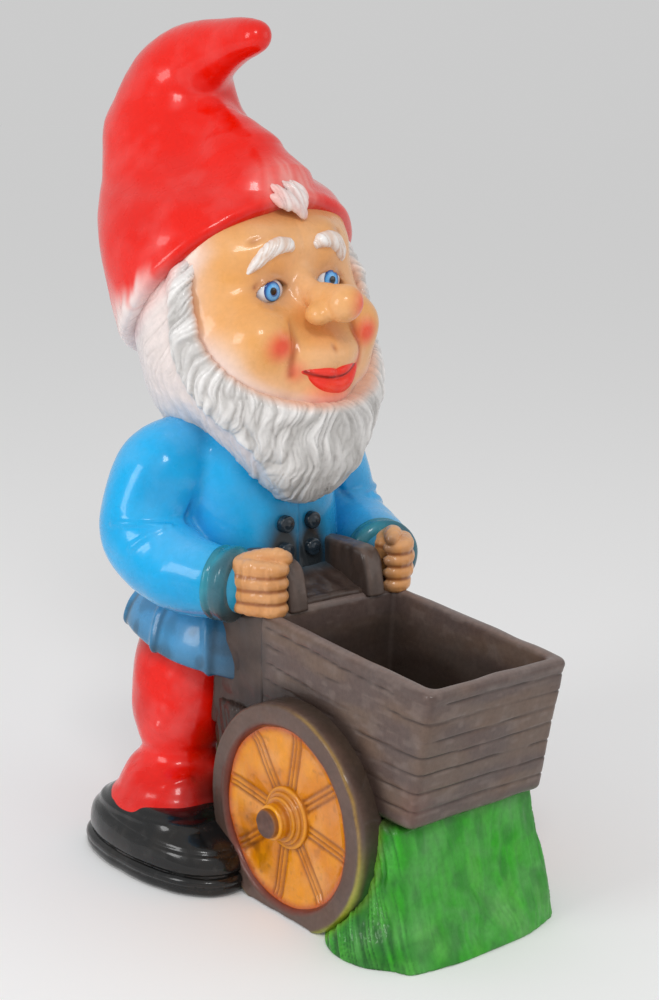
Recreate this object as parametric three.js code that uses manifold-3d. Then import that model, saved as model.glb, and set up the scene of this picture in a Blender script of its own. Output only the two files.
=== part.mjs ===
// Garden gnome pushing a planter cart: a hollow moulded plastic figure on a grass mound.
// Millimetres, +Z up, the gnome faces -Y and +X is its left.
// The origin is the centre of the footprint, on the ground.
import * as THREE from "three";
import { mergeVertices } from "three/addons/utils/BufferGeometryUtils.js";
import Module from "manifold-3d";

const wasm = await Module();
wasm.setup();

// ---------- Driving dimensions ----------
const GAP = 0.3; // clearance between neighbouring pieces
const WALL = 3.2; // moulded wall of the hollow pieces
const OPEN_END = 10; // how far a hollow runs out past the end of its piece, so that it opens there
const FOOTPRINT_MID_Y = 36; // middle of the figure's depth, in the cart's own coordinates

const EYE = { x: 30, y: 55, z: 477, r: 12.5, irisR: 6.6, pupilR: 2.8, flatAt: 10.4 };
const BRIM = { y: 52, z: 545, slope: 43 }; // the plane of the brim, through its front edge
const NOSE = { y: 8, z: 464, r: 18 };
const FACE = { z: 460, rx: 76, rz: 70 }; // window in the hair and beard that shows the face
const MANE_SPLIT_Y = 108; // the beard is in front of this and the hair behind it

const BUTTON = { r: 7, x: 14, y: 40, depth: 6, lowZ: 261, pitch: 22.5 };
const HAND = { x: 63, y: 8, z: 249 };
const HANDLE = { x: 41, thick: 21, low: 232, top: 266, front: -14, back: 44 };

const TUB = {
  halfW: 73,
  front: -196,
  frontLow: -178,
  back: 0,
  rimFront: 216,
  rimBack: 230,
  bottom: 104,
  wall: 10,
};
const WEB = { halfW: 70, back: 46, low: 150, top: 231.5 };
const WHEEL = { y: -58, z: 80, tyreR: 91.5, discR: 72.5, face: 92, inner: 74, hubR: 23, capR: 11.7, hubOut: 17 };
const DISC_BACK = 13; // how far the back of the wheel disc lies behind the face of the tyre
const SPOKES = 8;
const MOUND = { halfW: 83, halfTop: 73, front: -193, frontTop: -168, height: 103.4 };
const SHOE = { x: 101, y: 77, halfW: 50, halfL: 89, soleH: 14 };
const PLUG = { r: 17, y: -88, thick: 6, recess: 1 };

const SIDES = [
  { name: "right", s: -1 },
  { name: "left", s: 1 },
];

// ---------- Materials ----------
const paint = (color, roughness = 0.25) => new THREE.MeshStandardMaterial({ color, roughness, metalness: 0 });
const PAINT = {
  red: paint(0xe0200f),
  skin: paint(0xe8a063),
  white: paint(0xe4dfdb, 0.35),
  blue: paint(0x2ba3e2),
  teal: paint(0x2a93ab),
  black: paint(0x15161a),
  brown: paint(0x5a4a47, 0.4),
  darkBrown: paint(0x40352f, 0.4),
  yellow: paint(0xf0991c),
  green: paint(0x2f9a33, 0.4),
  lips: paint(0xdc2a1c),
  eyeWhite: paint(0xf2f2f5, 0.08),
  iris: paint(0x2f8fe0, 0.08),
  pupil: paint(0x0a0c18, 0.08),
  rubber: paint(0x2b2b2b, 0.7),
};

// ---------- Solids from three.js geometry ----------
function solid(geometry) {
  const bare = geometry.index ? geometry.toNonIndexed() : geometry.clone();
  const g = new THREE.BufferGeometry().setAttribute("position", bare.getAttribute("position"));
  const merged = mergeVertices(g, 1e-4);
  return new wasm.Manifold(
    new wasm.Mesh({
      numProp: 3,
      vertProperties: new Float32Array(merged.attributes.position.array),
      triVerts: new Uint32Array(merged.index.array),
    }),
  );
}

function geometryOf(body) {
  const m = body.getMesh();
  const g = new THREE.BufferGeometry();
  g.setAttribute("position", new THREE.BufferAttribute(new Float32Array(m.vertProperties), 3));
  g.setIndex(new THREE.BufferAttribute(new Uint32Array(m.triVerts), 1));
  g.computeVertexNormals();
  return g;
}

// Closed skin over a list of rings, each ring's points turning anticlockwise about the way of travel.
function skin(rings) {
  const n = rings[0].length;
  const points = rings.flat();
  const index = [];
  for (let i = 0; i + 1 < rings.length; i++) {
    for (let j = 0; j < n; j++) {
      const [a, b] = [i * n + j, i * n + ((j + 1) % n)];
      index.push(a, b, b + n, a, b + n, a + n);
    }
  }
  const caps = [rings[0], rings[rings.length - 1]];
  caps.forEach((ring, end) => {
    const middle = points.length;
    points.push(ring.reduce((sum, p) => sum.add(p), new THREE.Vector3()).divideScalar(n));
    const base = end ? (rings.length - 1) * n : 0;
    for (let j = 0; j < n; j++) {
      const [a, b] = [base + j, base + ((j + 1) % n)];
      index.push(...(end ? [a, b, middle] : [b, a, middle]));
    }
  });
  const g = new THREE.BufferGeometry().setFromPoints(points);
  g.setIndex(index);
  return solid(g);
}

// One ring in the plane of X and of Y leaned up by `lean` degrees; `square` above 2 makes it boxier.
function ring({ x = 0, y, z, rx, ry = rx, lean = 0, square = 2, turn = 0 }, grow, n) {
  const [c, s] = [Math.cos(THREE.MathUtils.degToRad(lean)), Math.sin(THREE.MathUtils.degToRad(lean))];
  const t0 = THREE.MathUtils.degToRad(turn);
  const round = (v) => Math.sign(v) * Math.abs(v) ** (2 / square);
  return Array.from({ length: n }, (_, j) => {
    const a = (j / n) * 2 * Math.PI;
    const u = round(Math.cos(a)) * Math.max(rx + grow, 0.5);
    const v = round(Math.sin(a)) * Math.max(ry + grow, 0.5);
    const [p, q] = [u * Math.cos(t0) - v * Math.sin(t0), u * Math.sin(t0) + v * Math.cos(t0)];
    return new THREE.Vector3(x + p, y + q * c, z + q * s);
  });
}

// Loft of leaned rings, from the lowest ring up. `grow` swells it, and `past` is how far its ends move out.
function loft(rings, grow = 0, n = 18, past = grow) {
  const made = rings.map((r) => ring(r, grow, n));
  const pushEnd = (r, points, way) => {
    const lean = THREE.MathUtils.degToRad(r.lean ?? 0);
    const along = new THREE.Vector3(0, -Math.sin(lean), Math.cos(lean)).multiplyScalar(way * past);
    points.forEach((p) => p.add(along));
  };
  pushEnd(rings[0], made[0], -1);
  pushEnd(rings[rings.length - 1], made[made.length - 1], 1);
  return skin(made);
}

// Limb of varying radius through points [x, y, z, r].
function limb(stations, grow = 0, n = 12, past = grow) {
  const at = stations.map(([x, y, z]) => new THREE.Vector3(x, y, z));
  const last = at.length - 1;
  const side = new THREE.Vector3();
  const rings = at.map((p, i) => {
    const along = at[Math.min(i + 1, last)].clone().sub(at[Math.max(i - 1, 0)]).normalize();
    if (i === 0) {
      const across = Math.abs(along.z) > 0.9 ? new THREE.Vector3(0, 1, 0) : new THREE.Vector3(0, 0, 1);
      side.crossVectors(across, along);
    }
    side.sub(along.clone().multiplyScalar(side.dot(along))).normalize();
    const up = new THREE.Vector3().crossVectors(along, side);
    const r = stations[i][3] + grow;
    const end = i === 0 ? -past : i === last ? past : 0;
    return Array.from({ length: n }, (_, j) => {
      const a = (j / n) * 2 * Math.PI;
      const out = p.clone().addScaledVector(along, end);
      return out.addScaledVector(side, r * Math.cos(a)).addScaledVector(up, r * Math.sin(a));
    });
  });
  return skin(rings);
}

function ball(x, y, z, rx, ry = rx, rz = rx, grow = 0, n = 12) {
  const g = new THREE.SphereGeometry(1, n, Math.round(n * 0.6));
  g.scale(rx + grow, ry + grow, rz + grow);
  g.translate(x, y, z);
  return solid(g);
}

function box(x0, x1, y0, y1, z0, z1) {
  const g = new THREE.BoxGeometry(x1 - x0, y1 - y0, z1 - z0);
  g.translate((x0 + x1) / 2, (y0 + y1) / 2, (z0 + z1) / 2);
  return solid(g);
}

// Body turned on an axis along X: profile points are [radius, distance out from the middle plane].
function turned(profile, s, n = 36) {
  const g = new THREE.LatheGeometry(profile.map(([r, out]) => new THREE.Vector2(r, out)), n);
  g.rotateZ(-s * (Math.PI / 2));
  g.translate(0, WHEEL.y, WHEEL.z);
  return solid(g);
}

const cutBy = (body, ...tools) => tools.reduce((left, tool) => left.subtract(tool), body);
const joined = (...bodies) => bodies.reduce((a, b) => a.add(b));
const mirrorRings = (rings, s) => rings.map((r) => ({ ...r, x: (r.x ?? 0) * s, turn: (r.turn ?? 0) * s }));
const mirrorStations = (stations, s) => stations.map(([x, y, z, r]) => [x * s, y, z, r]);

// Largest piece of a body, without the crumbs that a cut can leave.
const mainPiece = (body) => body.decompose().reduce((a, b) => (b.volume() > a.volume() ? b : a));

// ---------- Head, hat, hair and beard ----------
const HEAD_RINGS = [
  { y: 100, z: 340, rx: 52, ry: 48 },
  { y: 92, z: 372, rx: 68, ry: 66 },
  { y: 98, z: 402, rx: 82, ry: 84 },
  { y: 112, z: 432, rx: 90, ry: 92 },
  { y: 124, z: 460, rx: 92, ry: 88 },
  { y: 133, z: 485, rx: 92, ry: 86 },
  { y: 140, z: 510, rx: 92, ry: 90 },
  { y: 152, z: 536, rx: 86, ry: 88 },
  { y: 162, z: 556, rx: 66, ry: 70 },
];

// The hat's level rings start below the brim, which is then cut on a plane that rises to the front.
const HAT_RINGS = [
  { y: 104, z: 384, rx: 92, ry: 88 },
  { y: 110, z: 406, rx: 98, ry: 97 },
  { y: 119, z: 440, rx: 104, ry: 104 },
  { y: 132, z: 474, rx: 106, ry: 103 },
  { y: 143, z: 508, rx: 108, ry: 101 },
  { y: 153, z: 540, rx: 104, ry: 101 },
  { y: 170, z: 568, rx: 92, ry: 95, lean: 4 },
  { y: 190, z: 590, rx: 76, ry: 80, lean: 12 },
  { y: 209, z: 610, rx: 58, ry: 60, lean: 24 },
  { y: 213, z: 631, rx: 43, lean: 46 },
  { y: 198, z: 645, rx: 34, lean: 66 },
  { y: 175, z: 653, rx: 28, lean: 78 },
  { y: 150, z: 659, rx: 24, lean: 86 },
  { y: 126, z: 664, rx: 20, lean: 92 },
  { y: 110, z: 664, rx: 15, lean: 94 },
  { y: 101, z: 663, rx: 8, lean: 94 },
];

const BEARD_RINGS = [
  { y: 42, z: 301, rx: 12, ry: 10 },
  { y: 40, z: 312, rx: 32, ry: 28 },
  { y: 40, z: 328, rx: 47, ry: 44 },
  { y: 44, z: 347, rx: 61, ry: 56 },
  { y: 58, z: 366, rx: 75, ry: 70 },
  { y: 74, z: 388, rx: 90, ry: 87 },
  { y: 90, z: 408, rx: 98, ry: 94 },
  { y: 106, z: 432, rx: 102, ry: 97 },
  { y: 120, z: 462, rx: 102, ry: 98 },
  { y: 133, z: 492, rx: 101, ry: 95 },
  { y: 142, z: 515, rx: 99, ry: 92 },
];
const NAPE_RINGS = [
  { y: 122, z: 352, rx: 64, ry: 56 },
  { y: 118, z: 372, rx: 78, ry: 70 },
  { y: 112, z: 395, rx: 90, ry: 84 },
  { y: 112, z: 420, rx: 96, ry: 92 },
];

const head = (grow = 0) =>
  joined(
    loft(HEAD_RINGS, grow),
    ball(0, NOSE.y, NOSE.z, NOSE.r, NOSE.r + 4, NOSE.r - 1, grow),
    ball(0, 30, 474, 13, 26, 15, grow),
    ball(-46, 46, 444, 30, 32, 26, grow),
    ball(46, 46, 444, 30, 32, 26, grow),
    ball(0, 40, 418, 38, 36, 22, grow),
  );

// Everything in front of the brim's plane, `grow` further back
function underBrim(grow) {
  const g = new THREE.BoxGeometry(400, 400, 300);
  g.translate(0, 0, -150 - grow);
  g.rotateX(-THREE.MathUtils.degToRad(BRIM.slope));
  g.translate(0, BRIM.y, BRIM.z);
  return solid(g);
}
const hatSolid = (grow = 0) => loft(HAT_RINGS, grow, 22).subtract(underBrim(grow));
const hatHollow = () => loft(HAT_RINGS.slice(0, 12), -WALL, 22, OPEN_END);
const headHollow = () => loft(HEAD_RINGS, -WALL - 2, 16, OPEN_END);
const mane = () => joined(loft(BEARD_RINGS, 0, 24), loft(NAPE_RINGS, 0, 24));
const maneHollow = () => joined(loft(BEARD_RINGS, -WALL, 18), loft(NAPE_RINGS, -WALL, 18));

function eyeParts(s) {
  const placed = (geometry) => {
    // the eyes look ahead, a little up and outwards
    geometry.rotateX(THREE.MathUtils.degToRad(100));
    geometry.rotateZ(THREE.MathUtils.degToRad(s * 4));
    geometry.translate(s * EYE.x, EYE.y, EYE.z);
    return solid(geometry);
  };
  const disc = (r, low, high) => {
    const g = new THREE.CylinderGeometry(r * 0.96, r, high - low, 16);
    g.rotateX(Math.PI / 2);
    g.translate(0, 0, (low + high) / 2);
    return placed(g);
  };
  const bulb = placed(new THREE.SphereGeometry(EYE.r, 12, 8));
  return {
    ball: bulb.subtract(disc(EYE.r + 2, EYE.flatAt, EYE.r + 3)),
    iris: disc(EYE.irisR, EYE.flatAt + GAP, EYE.flatAt + 1.3),
    pupil: disc(EYE.pupilR, EYE.flatAt + 1.3 + GAP, EYE.flatAt + 2.2),
    socket: placed(new THREE.SphereGeometry(EYE.r + GAP, 12, 8)),
    opening: disc(EYE.irisR + 2, 4, EYE.r + 12),
  };
}
const EYES = SIDES.map(({ s }) => eyeParts(s));

const faceWindow = () => {
  const g = new THREE.CylinderGeometry(1, 1, 200, 28);
  g.scale(FACE.rx, 1, FACE.rz);
  g.translate(0, -10, FACE.z);
  return solid(g);
};
const lips = (grow = 0) => joined(ball(0, 12, 408, 25, 10, 6, grow), ball(0, 10, 399, 17, 9, 6, grow));
const brow = (s) =>
  limb(mirrorStations([[14, 44, 497, 5], [28, 43, 505, 8], [45, 53, 502, 7], [57, 65, 490, 3.5]], s), 0, 8);
const forelock = () => limb([[-8, 54, 530, 6], [0, 42, 543, 10], [6, 42, 555, 8], [10, 50, 564, 3]], 0, 8);

// ---------- Jacket, arms and legs ----------
const TORSO_RINGS = [
  { y: 112, z: 222, rx: 81, ry: 76 },
  { y: 110, z: 243, rx: 78, ry: 72 },
  { y: 108, z: 268, rx: 76, ry: 68 },
  { y: 110, z: 298, rx: 77, ry: 66 },
  { y: 114, z: 325, rx: 77, ry: 63 },
  { y: 118, z: 345, rx: 72, ry: 57 },
  { y: 120, z: 360, rx: 58, ry: 48 },
];
const SKIRT_RINGS = [
  { y: 108, z: 176, rx: 99, ry: 97, lean: 3, square: 2.3 },
  { y: 109, z: 198, rx: 94, ry: 92, lean: 3, square: 2.25 },
  { y: 111, z: 220, rx: 86, ry: 82, lean: 2, square: 2.1 },
];
const SLEEVE = [
  [66, 114, 340, 31],
  [84, 116, 322, 36],
  [97, 118, 298, 37],
  [104, 112, 274, 37],
  [104, 92, 258, 35],
  [98, 66, 250, 32],
  [86, 40, 247, 28],
];
const CUFF = [
  [85.6, 39.2, 247, 29],
  [80, 28, 247.4, 28],
];
const LEG_RINGS = [
  { x: 85, y: 97, z: 38, rx: 46, ry: 48 },
  { x: 83, y: 97, z: 47, rx: 44, ry: 46 },
  { x: 80, y: 99, z: 54, rx: 41, ry: 42 },
  { x: 78, y: 100, z: 66, rx: 43, ry: 45 },
  { x: 74, y: 102, z: 82, rx: 38, ry: 38 },
  { x: 70, y: 106, z: 98, rx: 39, ry: 40 },
  { x: 62, y: 112, z: 125, rx: 43, ry: 46 },
  { x: 54, y: 115, z: 155, rx: 46, ry: 50 },
  { x: 50, y: 114, z: 190, rx: 44, ry: 54 },
];
const torso = (grow = 0) => loft(TORSO_RINGS, grow);
const torsoHollow = () => loft(TORSO_RINGS, -WALL, 18, OPEN_END);
const skirt = (grow = 0) => loft(SKIRT_RINGS, grow, 28);
const skirtHollow = (slack = 0) => loft(SKIRT_RINGS, -WALL - slack, 28, OPEN_END);
const sleeve = (s, grow = 0) => limb(mirrorStations(SLEEVE, s), grow);
const sleeveHollow = (s) => limb(mirrorStations([...SLEEVE, CUFF[1]], s), -WALL, 12, OPEN_END);
const cuff = (s, grow = 0) => limb(mirrorStations(CUFF, s), grow);
const leg = (s, grow = 0) => loft(mirrorRings(LEG_RINGS, s), grow, 14);
const legHollow = (s) => loft(mirrorRings(LEG_RINGS, s), -WALL, 14, OPEN_END);

const shoeRing = (z, share, dy = 0) => ({
  x: SHOE.x,
  y: SHOE.y + dy,
  z,
  rx: SHOE.halfW * share,
  ry: SHOE.halfL * share,
  square: 2.3,
  turn: 3,
});
const SOLE_RINGS = [shoeRing(0, 0.97), shoeRing(3, 1), shoeRing(SHOE.soleH, 0.995)];
const UPPER_RINGS = [
  shoeRing(SHOE.soleH + GAP, 0.955),
  shoeRing(26, 0.95, 1),
  shoeRing(38, 0.88, 3),
  shoeRing(47, 0.74, 6),
  shoeRing(52, 0.58, 10),
];
const sole = (s, grow = 0) => loft(mirrorRings(SOLE_RINGS, s), grow, 22);
const soleHollow = (s) => {
  const rings = mirrorRings([shoeRing(WALL, 1), SOLE_RINGS[2]], s);
  return loft(rings, -WALL, 22, OPEN_END).subtract(below(WALL));
};
const upper = (s, grow = 0) => loft(mirrorRings(UPPER_RINGS, s), grow, 22);
const upperHollow = (s) => loft(mirrorRings(UPPER_RINGS, s), -WALL, 22, OPEN_END);

// Fist round the outside and the top of the handle: palm, four fingers one above another, thumb over the top.
function hand(s, grow = 0) {
  const finger = (i) => {
    const z = HAND.z + 15 - i * 11;
    const knuckles = [[80, 16, z, 6], [77, -2, z, 6.4], [66, -12, z - 1, 6.2], [54, -10, z - 1, 5]];
    return limb(mirrorStations(knuckles, s), grow, 8);
  };
  const thumb = limb(mirrorStations([[74, 16, 264, 8], [66, 2, 271, 7], [56, -8, 272, 5.5]], s), grow, 8);
  return joined(ball(s * 75, 12, HAND.z, 15, 20, 25, grow, 12), ...[0, 1, 2, 3].map(finger), thumb);
}

// ---------- Cart ----------
const tubRing = (z, inset, front, back) =>
  [
    [-1, back],
    [-1, front],
    [1, front],
    [1, back],
  ].map(([side, y]) => new THREE.Vector3(side * (TUB.halfW - inset), y, z));

// The rim rises towards the back, so its ring is tilted.
function tubSolid(grow = 0) {
  const low = tubRing(TUB.bottom - grow, -grow, TUB.frontLow - grow, TUB.back + grow);
  const high = tubRing(0, -grow, TUB.front - grow, TUB.back + grow);
  const rise = (TUB.rimBack - TUB.rimFront) / (TUB.back - TUB.front);
  high.forEach((p) => (p.z = TUB.rimFront + (p.y - TUB.front) * rise + grow));
  return skin([low, high]);
}
const TUB_FLOOR = 8; // thickness of the tub's floor
function tubCavity() {
  const w = TUB.wall;
  const low = tubRing(TUB.bottom + TUB_FLOOR, w + 3, TUB.frontLow + w + 2, TUB.back - w - 4);
  const high = tubRing(TUB.rimBack + 10, w, TUB.front + w - 2, TUB.back - w);
  return skin([low, high]);
}
const plankGrooves = () => {
  const groove = (z) => box(-TUB.halfW - 9, TUB.halfW + 9, TUB.front - 9, TUB.back + 9, z, z + 1.4);
  const core = tubSolid(-1.2);
  return [124, 141, 158, 175, 192].map((z) => groove(z).subtract(core));
};

function handle(s, grow = 0) {
  const profile = new THREE.Shape();
  profile.moveTo(HANDLE.front - grow, HANDLE.low - grow);
  profile.lineTo(HANDLE.front + 6 - grow, HANDLE.top - 14);
  profile.quadraticCurveTo(HANDLE.front + 9 - grow, HANDLE.top + grow, HANDLE.front + 22, HANDLE.top + grow);
  profile.lineTo(HANDLE.back + grow, HANDLE.top - 4 + grow);
  profile.lineTo(HANDLE.back + grow, HANDLE.low - grow);
  profile.closePath();
  const depth = HANDLE.thick + 2 * grow;
  const g = new THREE.ExtrudeGeometry(profile, { depth, bevelEnabled: false, curveSegments: 6 });
  g.rotateX(Math.PI / 2);
  g.rotateZ(Math.PI / 2);
  g.translate(s * HANDLE.x - HANDLE.thick / 2 - grow, 0, 0);
  return solid(g);
}
const rearWeb = () =>
  box(-WEB.halfW, WEB.halfW, TUB.back + GAP, WEB.back, WEB.low, WEB.top).subtract(
    box(WALL - WEB.halfW, WEB.halfW - WALL, TUB.back + GAP + WALL, WEB.back + 1, WEB.low - 1, WEB.top - WALL),
  );

const tyre = (s, grow = 0) =>
  turned(
    [
      [WHEEL.discR - grow, WHEEL.inner - grow],
      [WHEEL.tyreR + grow, WHEEL.inner - grow],
      [WHEEL.tyreR + grow, WHEEL.face - 3],
      [WHEEL.tyreR - 3 + grow, WHEEL.face + grow],
      [WHEEL.discR + 3 - grow, WHEEL.face + grow],
      [WHEEL.discR - grow, WHEEL.face - 3],
      [WHEEL.discR - grow, WHEEL.inner - grow],
    ],
    s,
    44,
  );
const disc = (s, grow = 0) =>
  turned(
    [
      [0, WHEEL.face - DISC_BACK - grow],
      [WHEEL.discR - GAP + grow, WHEEL.face - DISC_BACK - grow],
      [WHEEL.discR - GAP + grow, WHEEL.face - 5 + grow],
      [WHEEL.hubR + 4, WHEEL.face - 8 + grow],
      [0, WHEEL.face - 8 + grow],
    ],
    s,
  );
const hub = (s) =>
  turned(
    [
      [0, WHEEL.face - 8 + GAP],
      [WHEEL.hubR, WHEEL.face - 8 + GAP],
      [WHEEL.hubR, WHEEL.face - 3],
      [WHEEL.hubR - 4, WHEEL.face],
      [WHEEL.hubR - 5, WHEEL.face + 5],
      [WHEEL.hubR - 8, WHEEL.face + 6],
      [WHEEL.hubR - 9, WHEEL.face + WHEEL.hubOut - 5],
      [0, WHEEL.face + WHEEL.hubOut - 5],
    ],
    s,
    28,
  );
const axleEnd = (s) =>
  turned(
    [
      [0, WHEEL.face + WHEEL.hubOut - 5 + GAP],
      [WHEEL.capR, WHEEL.face + WHEEL.hubOut - 5 + GAP],
      [WHEEL.capR, WHEEL.face + WHEEL.hubOut - 1],
      [WHEEL.capR - 1.5, WHEEL.face + WHEEL.hubOut],
      [0, WHEEL.face + WHEEL.hubOut],
    ],
    s,
    24,
  );
function spokes(s) {
  return Array.from({ length: SPOKES }, (_, i) => {
    const [r0, r1] = [WHEEL.hubR + 1, WHEEL.discR - 3];
    const g = new THREE.BoxGeometry(9, 3, r1 - r0);
    g.translate(0, 0, (r0 + r1) / 2);
    g.rotateX((i + 0.4) * ((2 * Math.PI) / SPOKES));
    g.translate(s * (WHEEL.face - 8.5), WHEEL.y, WHEEL.z);
    return solid(g);
  });
}

const moundTop = (z, rx, inset) => ({
  y: (MOUND.frontTop - 10) / 2,
  z,
  rx,
  ry: (-MOUND.frontTop + 10) / 2 - inset,
  square: 12,
});
const FRONT_MOUND = [
  { y: (MOUND.front - 10) / 2, z: 0, rx: MOUND.halfW, ry: (-MOUND.front + 10) / 2 - 9, square: 12 },
  { y: (MOUND.front - 10) / 2, z: 10, rx: MOUND.halfW, ry: (-MOUND.front + 10) / 2 - 9, square: 12 },
  moundTop(MOUND.height - 6, MOUND.halfTop + 2, 5),
  moundTop(MOUND.height, MOUND.halfTop, 8),
];
const REAR_MOUND = [
  { y: -10, z: 0, rx: 78, ry: 78, square: 3 },
  { y: -8, z: 60, rx: 77, ry: 62, square: 3.5 },
  { y: -6, z: 110, rx: 76, ry: 45, square: 4 },
  { y: 0, z: 149.5, rx: 74, ry: 26, square: 4 },
];
const grassMound = (grow = 0) => joined(loft(FRONT_MOUND, grow, 28), loft(REAR_MOUND, grow, 28));
const moundHollow = () => {
  const clear = WALL + GAP;
  const feet = SIDES.flatMap(({ s }) => [leg(s, clear), upper(s, clear), sole(s, clear)]);
  const inner = joined(loft(FRONT_MOUND, -WALL, 24), loft(REAR_MOUND, -WALL, 24));
  const betweenWheels = box(1 - WHEEL.inner + WALL, WHEEL.inner - WALL - 1, -300, 300, WALL + 3, 300);
  return cutBy(inner.intersect(betweenWheels), tubSolid(clear), skirt(clear), ...feet);
};
const plugDisc = (r, height) => {
  const g = new THREE.CylinderGeometry(r, r, height, 28);
  g.rotateX(Math.PI / 2);
  g.translate(0, PLUG.y, PLUG.recess + PLUG.thick / 2);
  return solid(g);
};
const plug = () => plugDisc(PLUG.r, PLUG.thick);
const plugHole = () => plugDisc(PLUG.r + GAP, PLUG.thick + 2 * OPEN_END);

// ---------- Assembly ----------
const gnome = new THREE.Group();
gnome.position.y = -FOOTPRINT_MID_Y;

function place(name, body, material) {
  const mesh = new THREE.Mesh(geometryOf(body), material);
  mesh.name = name;
  gnome.add(mesh);
}

const eachSide = (make) => SIDES.map(({ s }) => make(s));
const bothSides = (make) => joined(...eachSide(make));
const below = (z) => box(-400, 400, -400, 400, z - 100, z);
const behind = (y) => box(-200, 200, y, 400, 250, 600);

const headGrown = head(GAP);
const hatGrown = hatSolid(GAP);
const torsoGrown = torso(GAP);
const skirtGrown = skirt(GAP);
const tubGrown = tubSolid(GAP);
const armsGrown = bothSides((s) => sleeve(s, GAP).add(cuff(s, GAP)));
const sockets = joined(...EYES.flatMap((eye) => [eye.socket, eye.opening]));

// Head
place("head", mainPiece(cutBy(head(), sockets, headHollow(), torsoGrown)), PAINT.skin);
SIDES.forEach(({ name, s }, i) => {
  place(`eye_${name}`, EYES[i].ball, PAINT.eyeWhite);
  place(`iris_${name}`, EYES[i].iris, PAINT.iris);
  place(`pupil_${name}`, EYES[i].pupil, PAINT.pupil);
  place(`eyebrow_${name}`, mainPiece(cutBy(brow(s), headGrown, sockets, hatGrown)), PAINT.white);
});
place("lips", mainPiece(cutBy(lips(), headGrown)), PAINT.lips);

// Hat, and the hair and beard that come out from under it
place("hat", mainPiece(cutBy(hatSolid(), hatHollow(), headGrown)), PAINT.red);
place("forelock", mainPiece(cutBy(forelock(), hatGrown, headGrown)), PAINT.white);
const maneShell = cutBy(mane(), maneHollow(), headGrown, hatGrown, torsoGrown, armsGrown);
place("beard", mainPiece(cutBy(maneShell, behind(MANE_SPLIT_Y), faceWindow(), lips(GAP))), PAINT.white);
place("hair", mainPiece(maneShell.intersect(behind(MANE_SPLIT_Y + GAP))), PAINT.white);

// Jacket
place("jacket_body", mainPiece(cutBy(torso(), torsoHollow(), skirtGrown)), PAINT.blue);
place("jacket_skirt", mainPiece(cutBy(skirt(), skirtHollow())), PAINT.blue);
["bottom", "top"].forEach((row, i) =>
  SIDES.forEach(({ name, s }) => {
    const z = BUTTON.lowZ + i * BUTTON.pitch;
    const dome = ball(s * BUTTON.x, BUTTON.y, z, BUTTON.r, BUTTON.depth, BUTTON.r);
    place(`button_${row}_${name}`, mainPiece(cutBy(dome, torsoGrown)), PAINT.black);
  }),
);

// Arms, legs and feet
const skirtWall = skirtGrown.subtract(skirtHollow(GAP));
SIDES.forEach(({ name, s }) => {
  const grip = handle(s, GAP);
  const wheel = tyre(s, GAP).add(disc(s, GAP));
  const arm = cutBy(sleeve(s), sleeveHollow(s), torsoGrown, skirtGrown, cuff(s, GAP));
  place(`sleeve_${name}`, mainPiece(arm), PAINT.blue);
  place(`cuff_${name}`, mainPiece(cutBy(cuff(s), sleeveHollow(s), torsoGrown)), PAINT.teal);
  place(`hand_${name}`, mainPiece(cutBy(hand(s), grip, armsGrown, tubGrown)), PAINT.skin);
  place(`trouser_leg_${name}`, mainPiece(cutBy(leg(s), legHollow(s), skirtWall)), PAINT.red);
  place(`shoe_${name}`, mainPiece(cutBy(upper(s), upperHollow(s), leg(s, GAP), wheel)), PAINT.black);
  place(`sole_${name}`, mainPiece(cutBy(sole(s), soleHollow(s), wheel)), PAINT.black);
});

// Cart
place("cart_tub", mainPiece(cutBy(tubSolid(), tubCavity(), ...plankGrooves())), PAINT.brown);
const figure = joined(torsoGrown, skirtGrown, armsGrown);
const webStops = bothSides((s) => joined(leg(s, GAP), hand(s, GAP), handle(s, GAP)));
place("cart_rear_web", mainPiece(cutBy(rearWeb(), figure, webStops)), PAINT.darkBrown);
SIDES.forEach(({ name, s }) => {
  place(`handle_${name}`, mainPiece(cutBy(handle(s), tubGrown, figure)), PAINT.darkBrown);
  place(`tyre_${name}`, cutBy(tyre(s), below(0)), PAINT.brown);
  place(`wheel_disc_${name}`, joined(cutBy(disc(s), below(0)), ...spokes(s)), PAINT.yellow);
  place(`hub_${name}`, hub(s), PAINT.yellow);
  place(`axle_end_${name}`, axleEnd(s), PAINT.brown);
});

// Grass mound, cut for everything that stands in it
const wheels = bothSides((s) => tyre(s, GAP).add(disc(s, GAP)));
const feet = bothSides((s) => joined(sole(s, GAP), upper(s, GAP), leg(s, GAP)));
const mound = cutBy(grassMound(), moundHollow(), tubGrown, skirtGrown, wheels, feet, plugHole());
place("grass_mound", mainPiece(mound), PAINT.green);
place("base_plug", plug(), PAINT.rubber);

export default gnome;
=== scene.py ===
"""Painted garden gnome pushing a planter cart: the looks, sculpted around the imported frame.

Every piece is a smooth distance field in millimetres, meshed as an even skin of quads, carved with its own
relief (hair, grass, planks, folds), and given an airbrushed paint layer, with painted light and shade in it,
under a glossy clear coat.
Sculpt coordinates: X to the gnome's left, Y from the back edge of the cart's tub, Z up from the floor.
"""

from itertools import product
from math import cos, pi, radians, sin

import bpy
import numpy as np
from mathutils import Matrix, Vector


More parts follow.
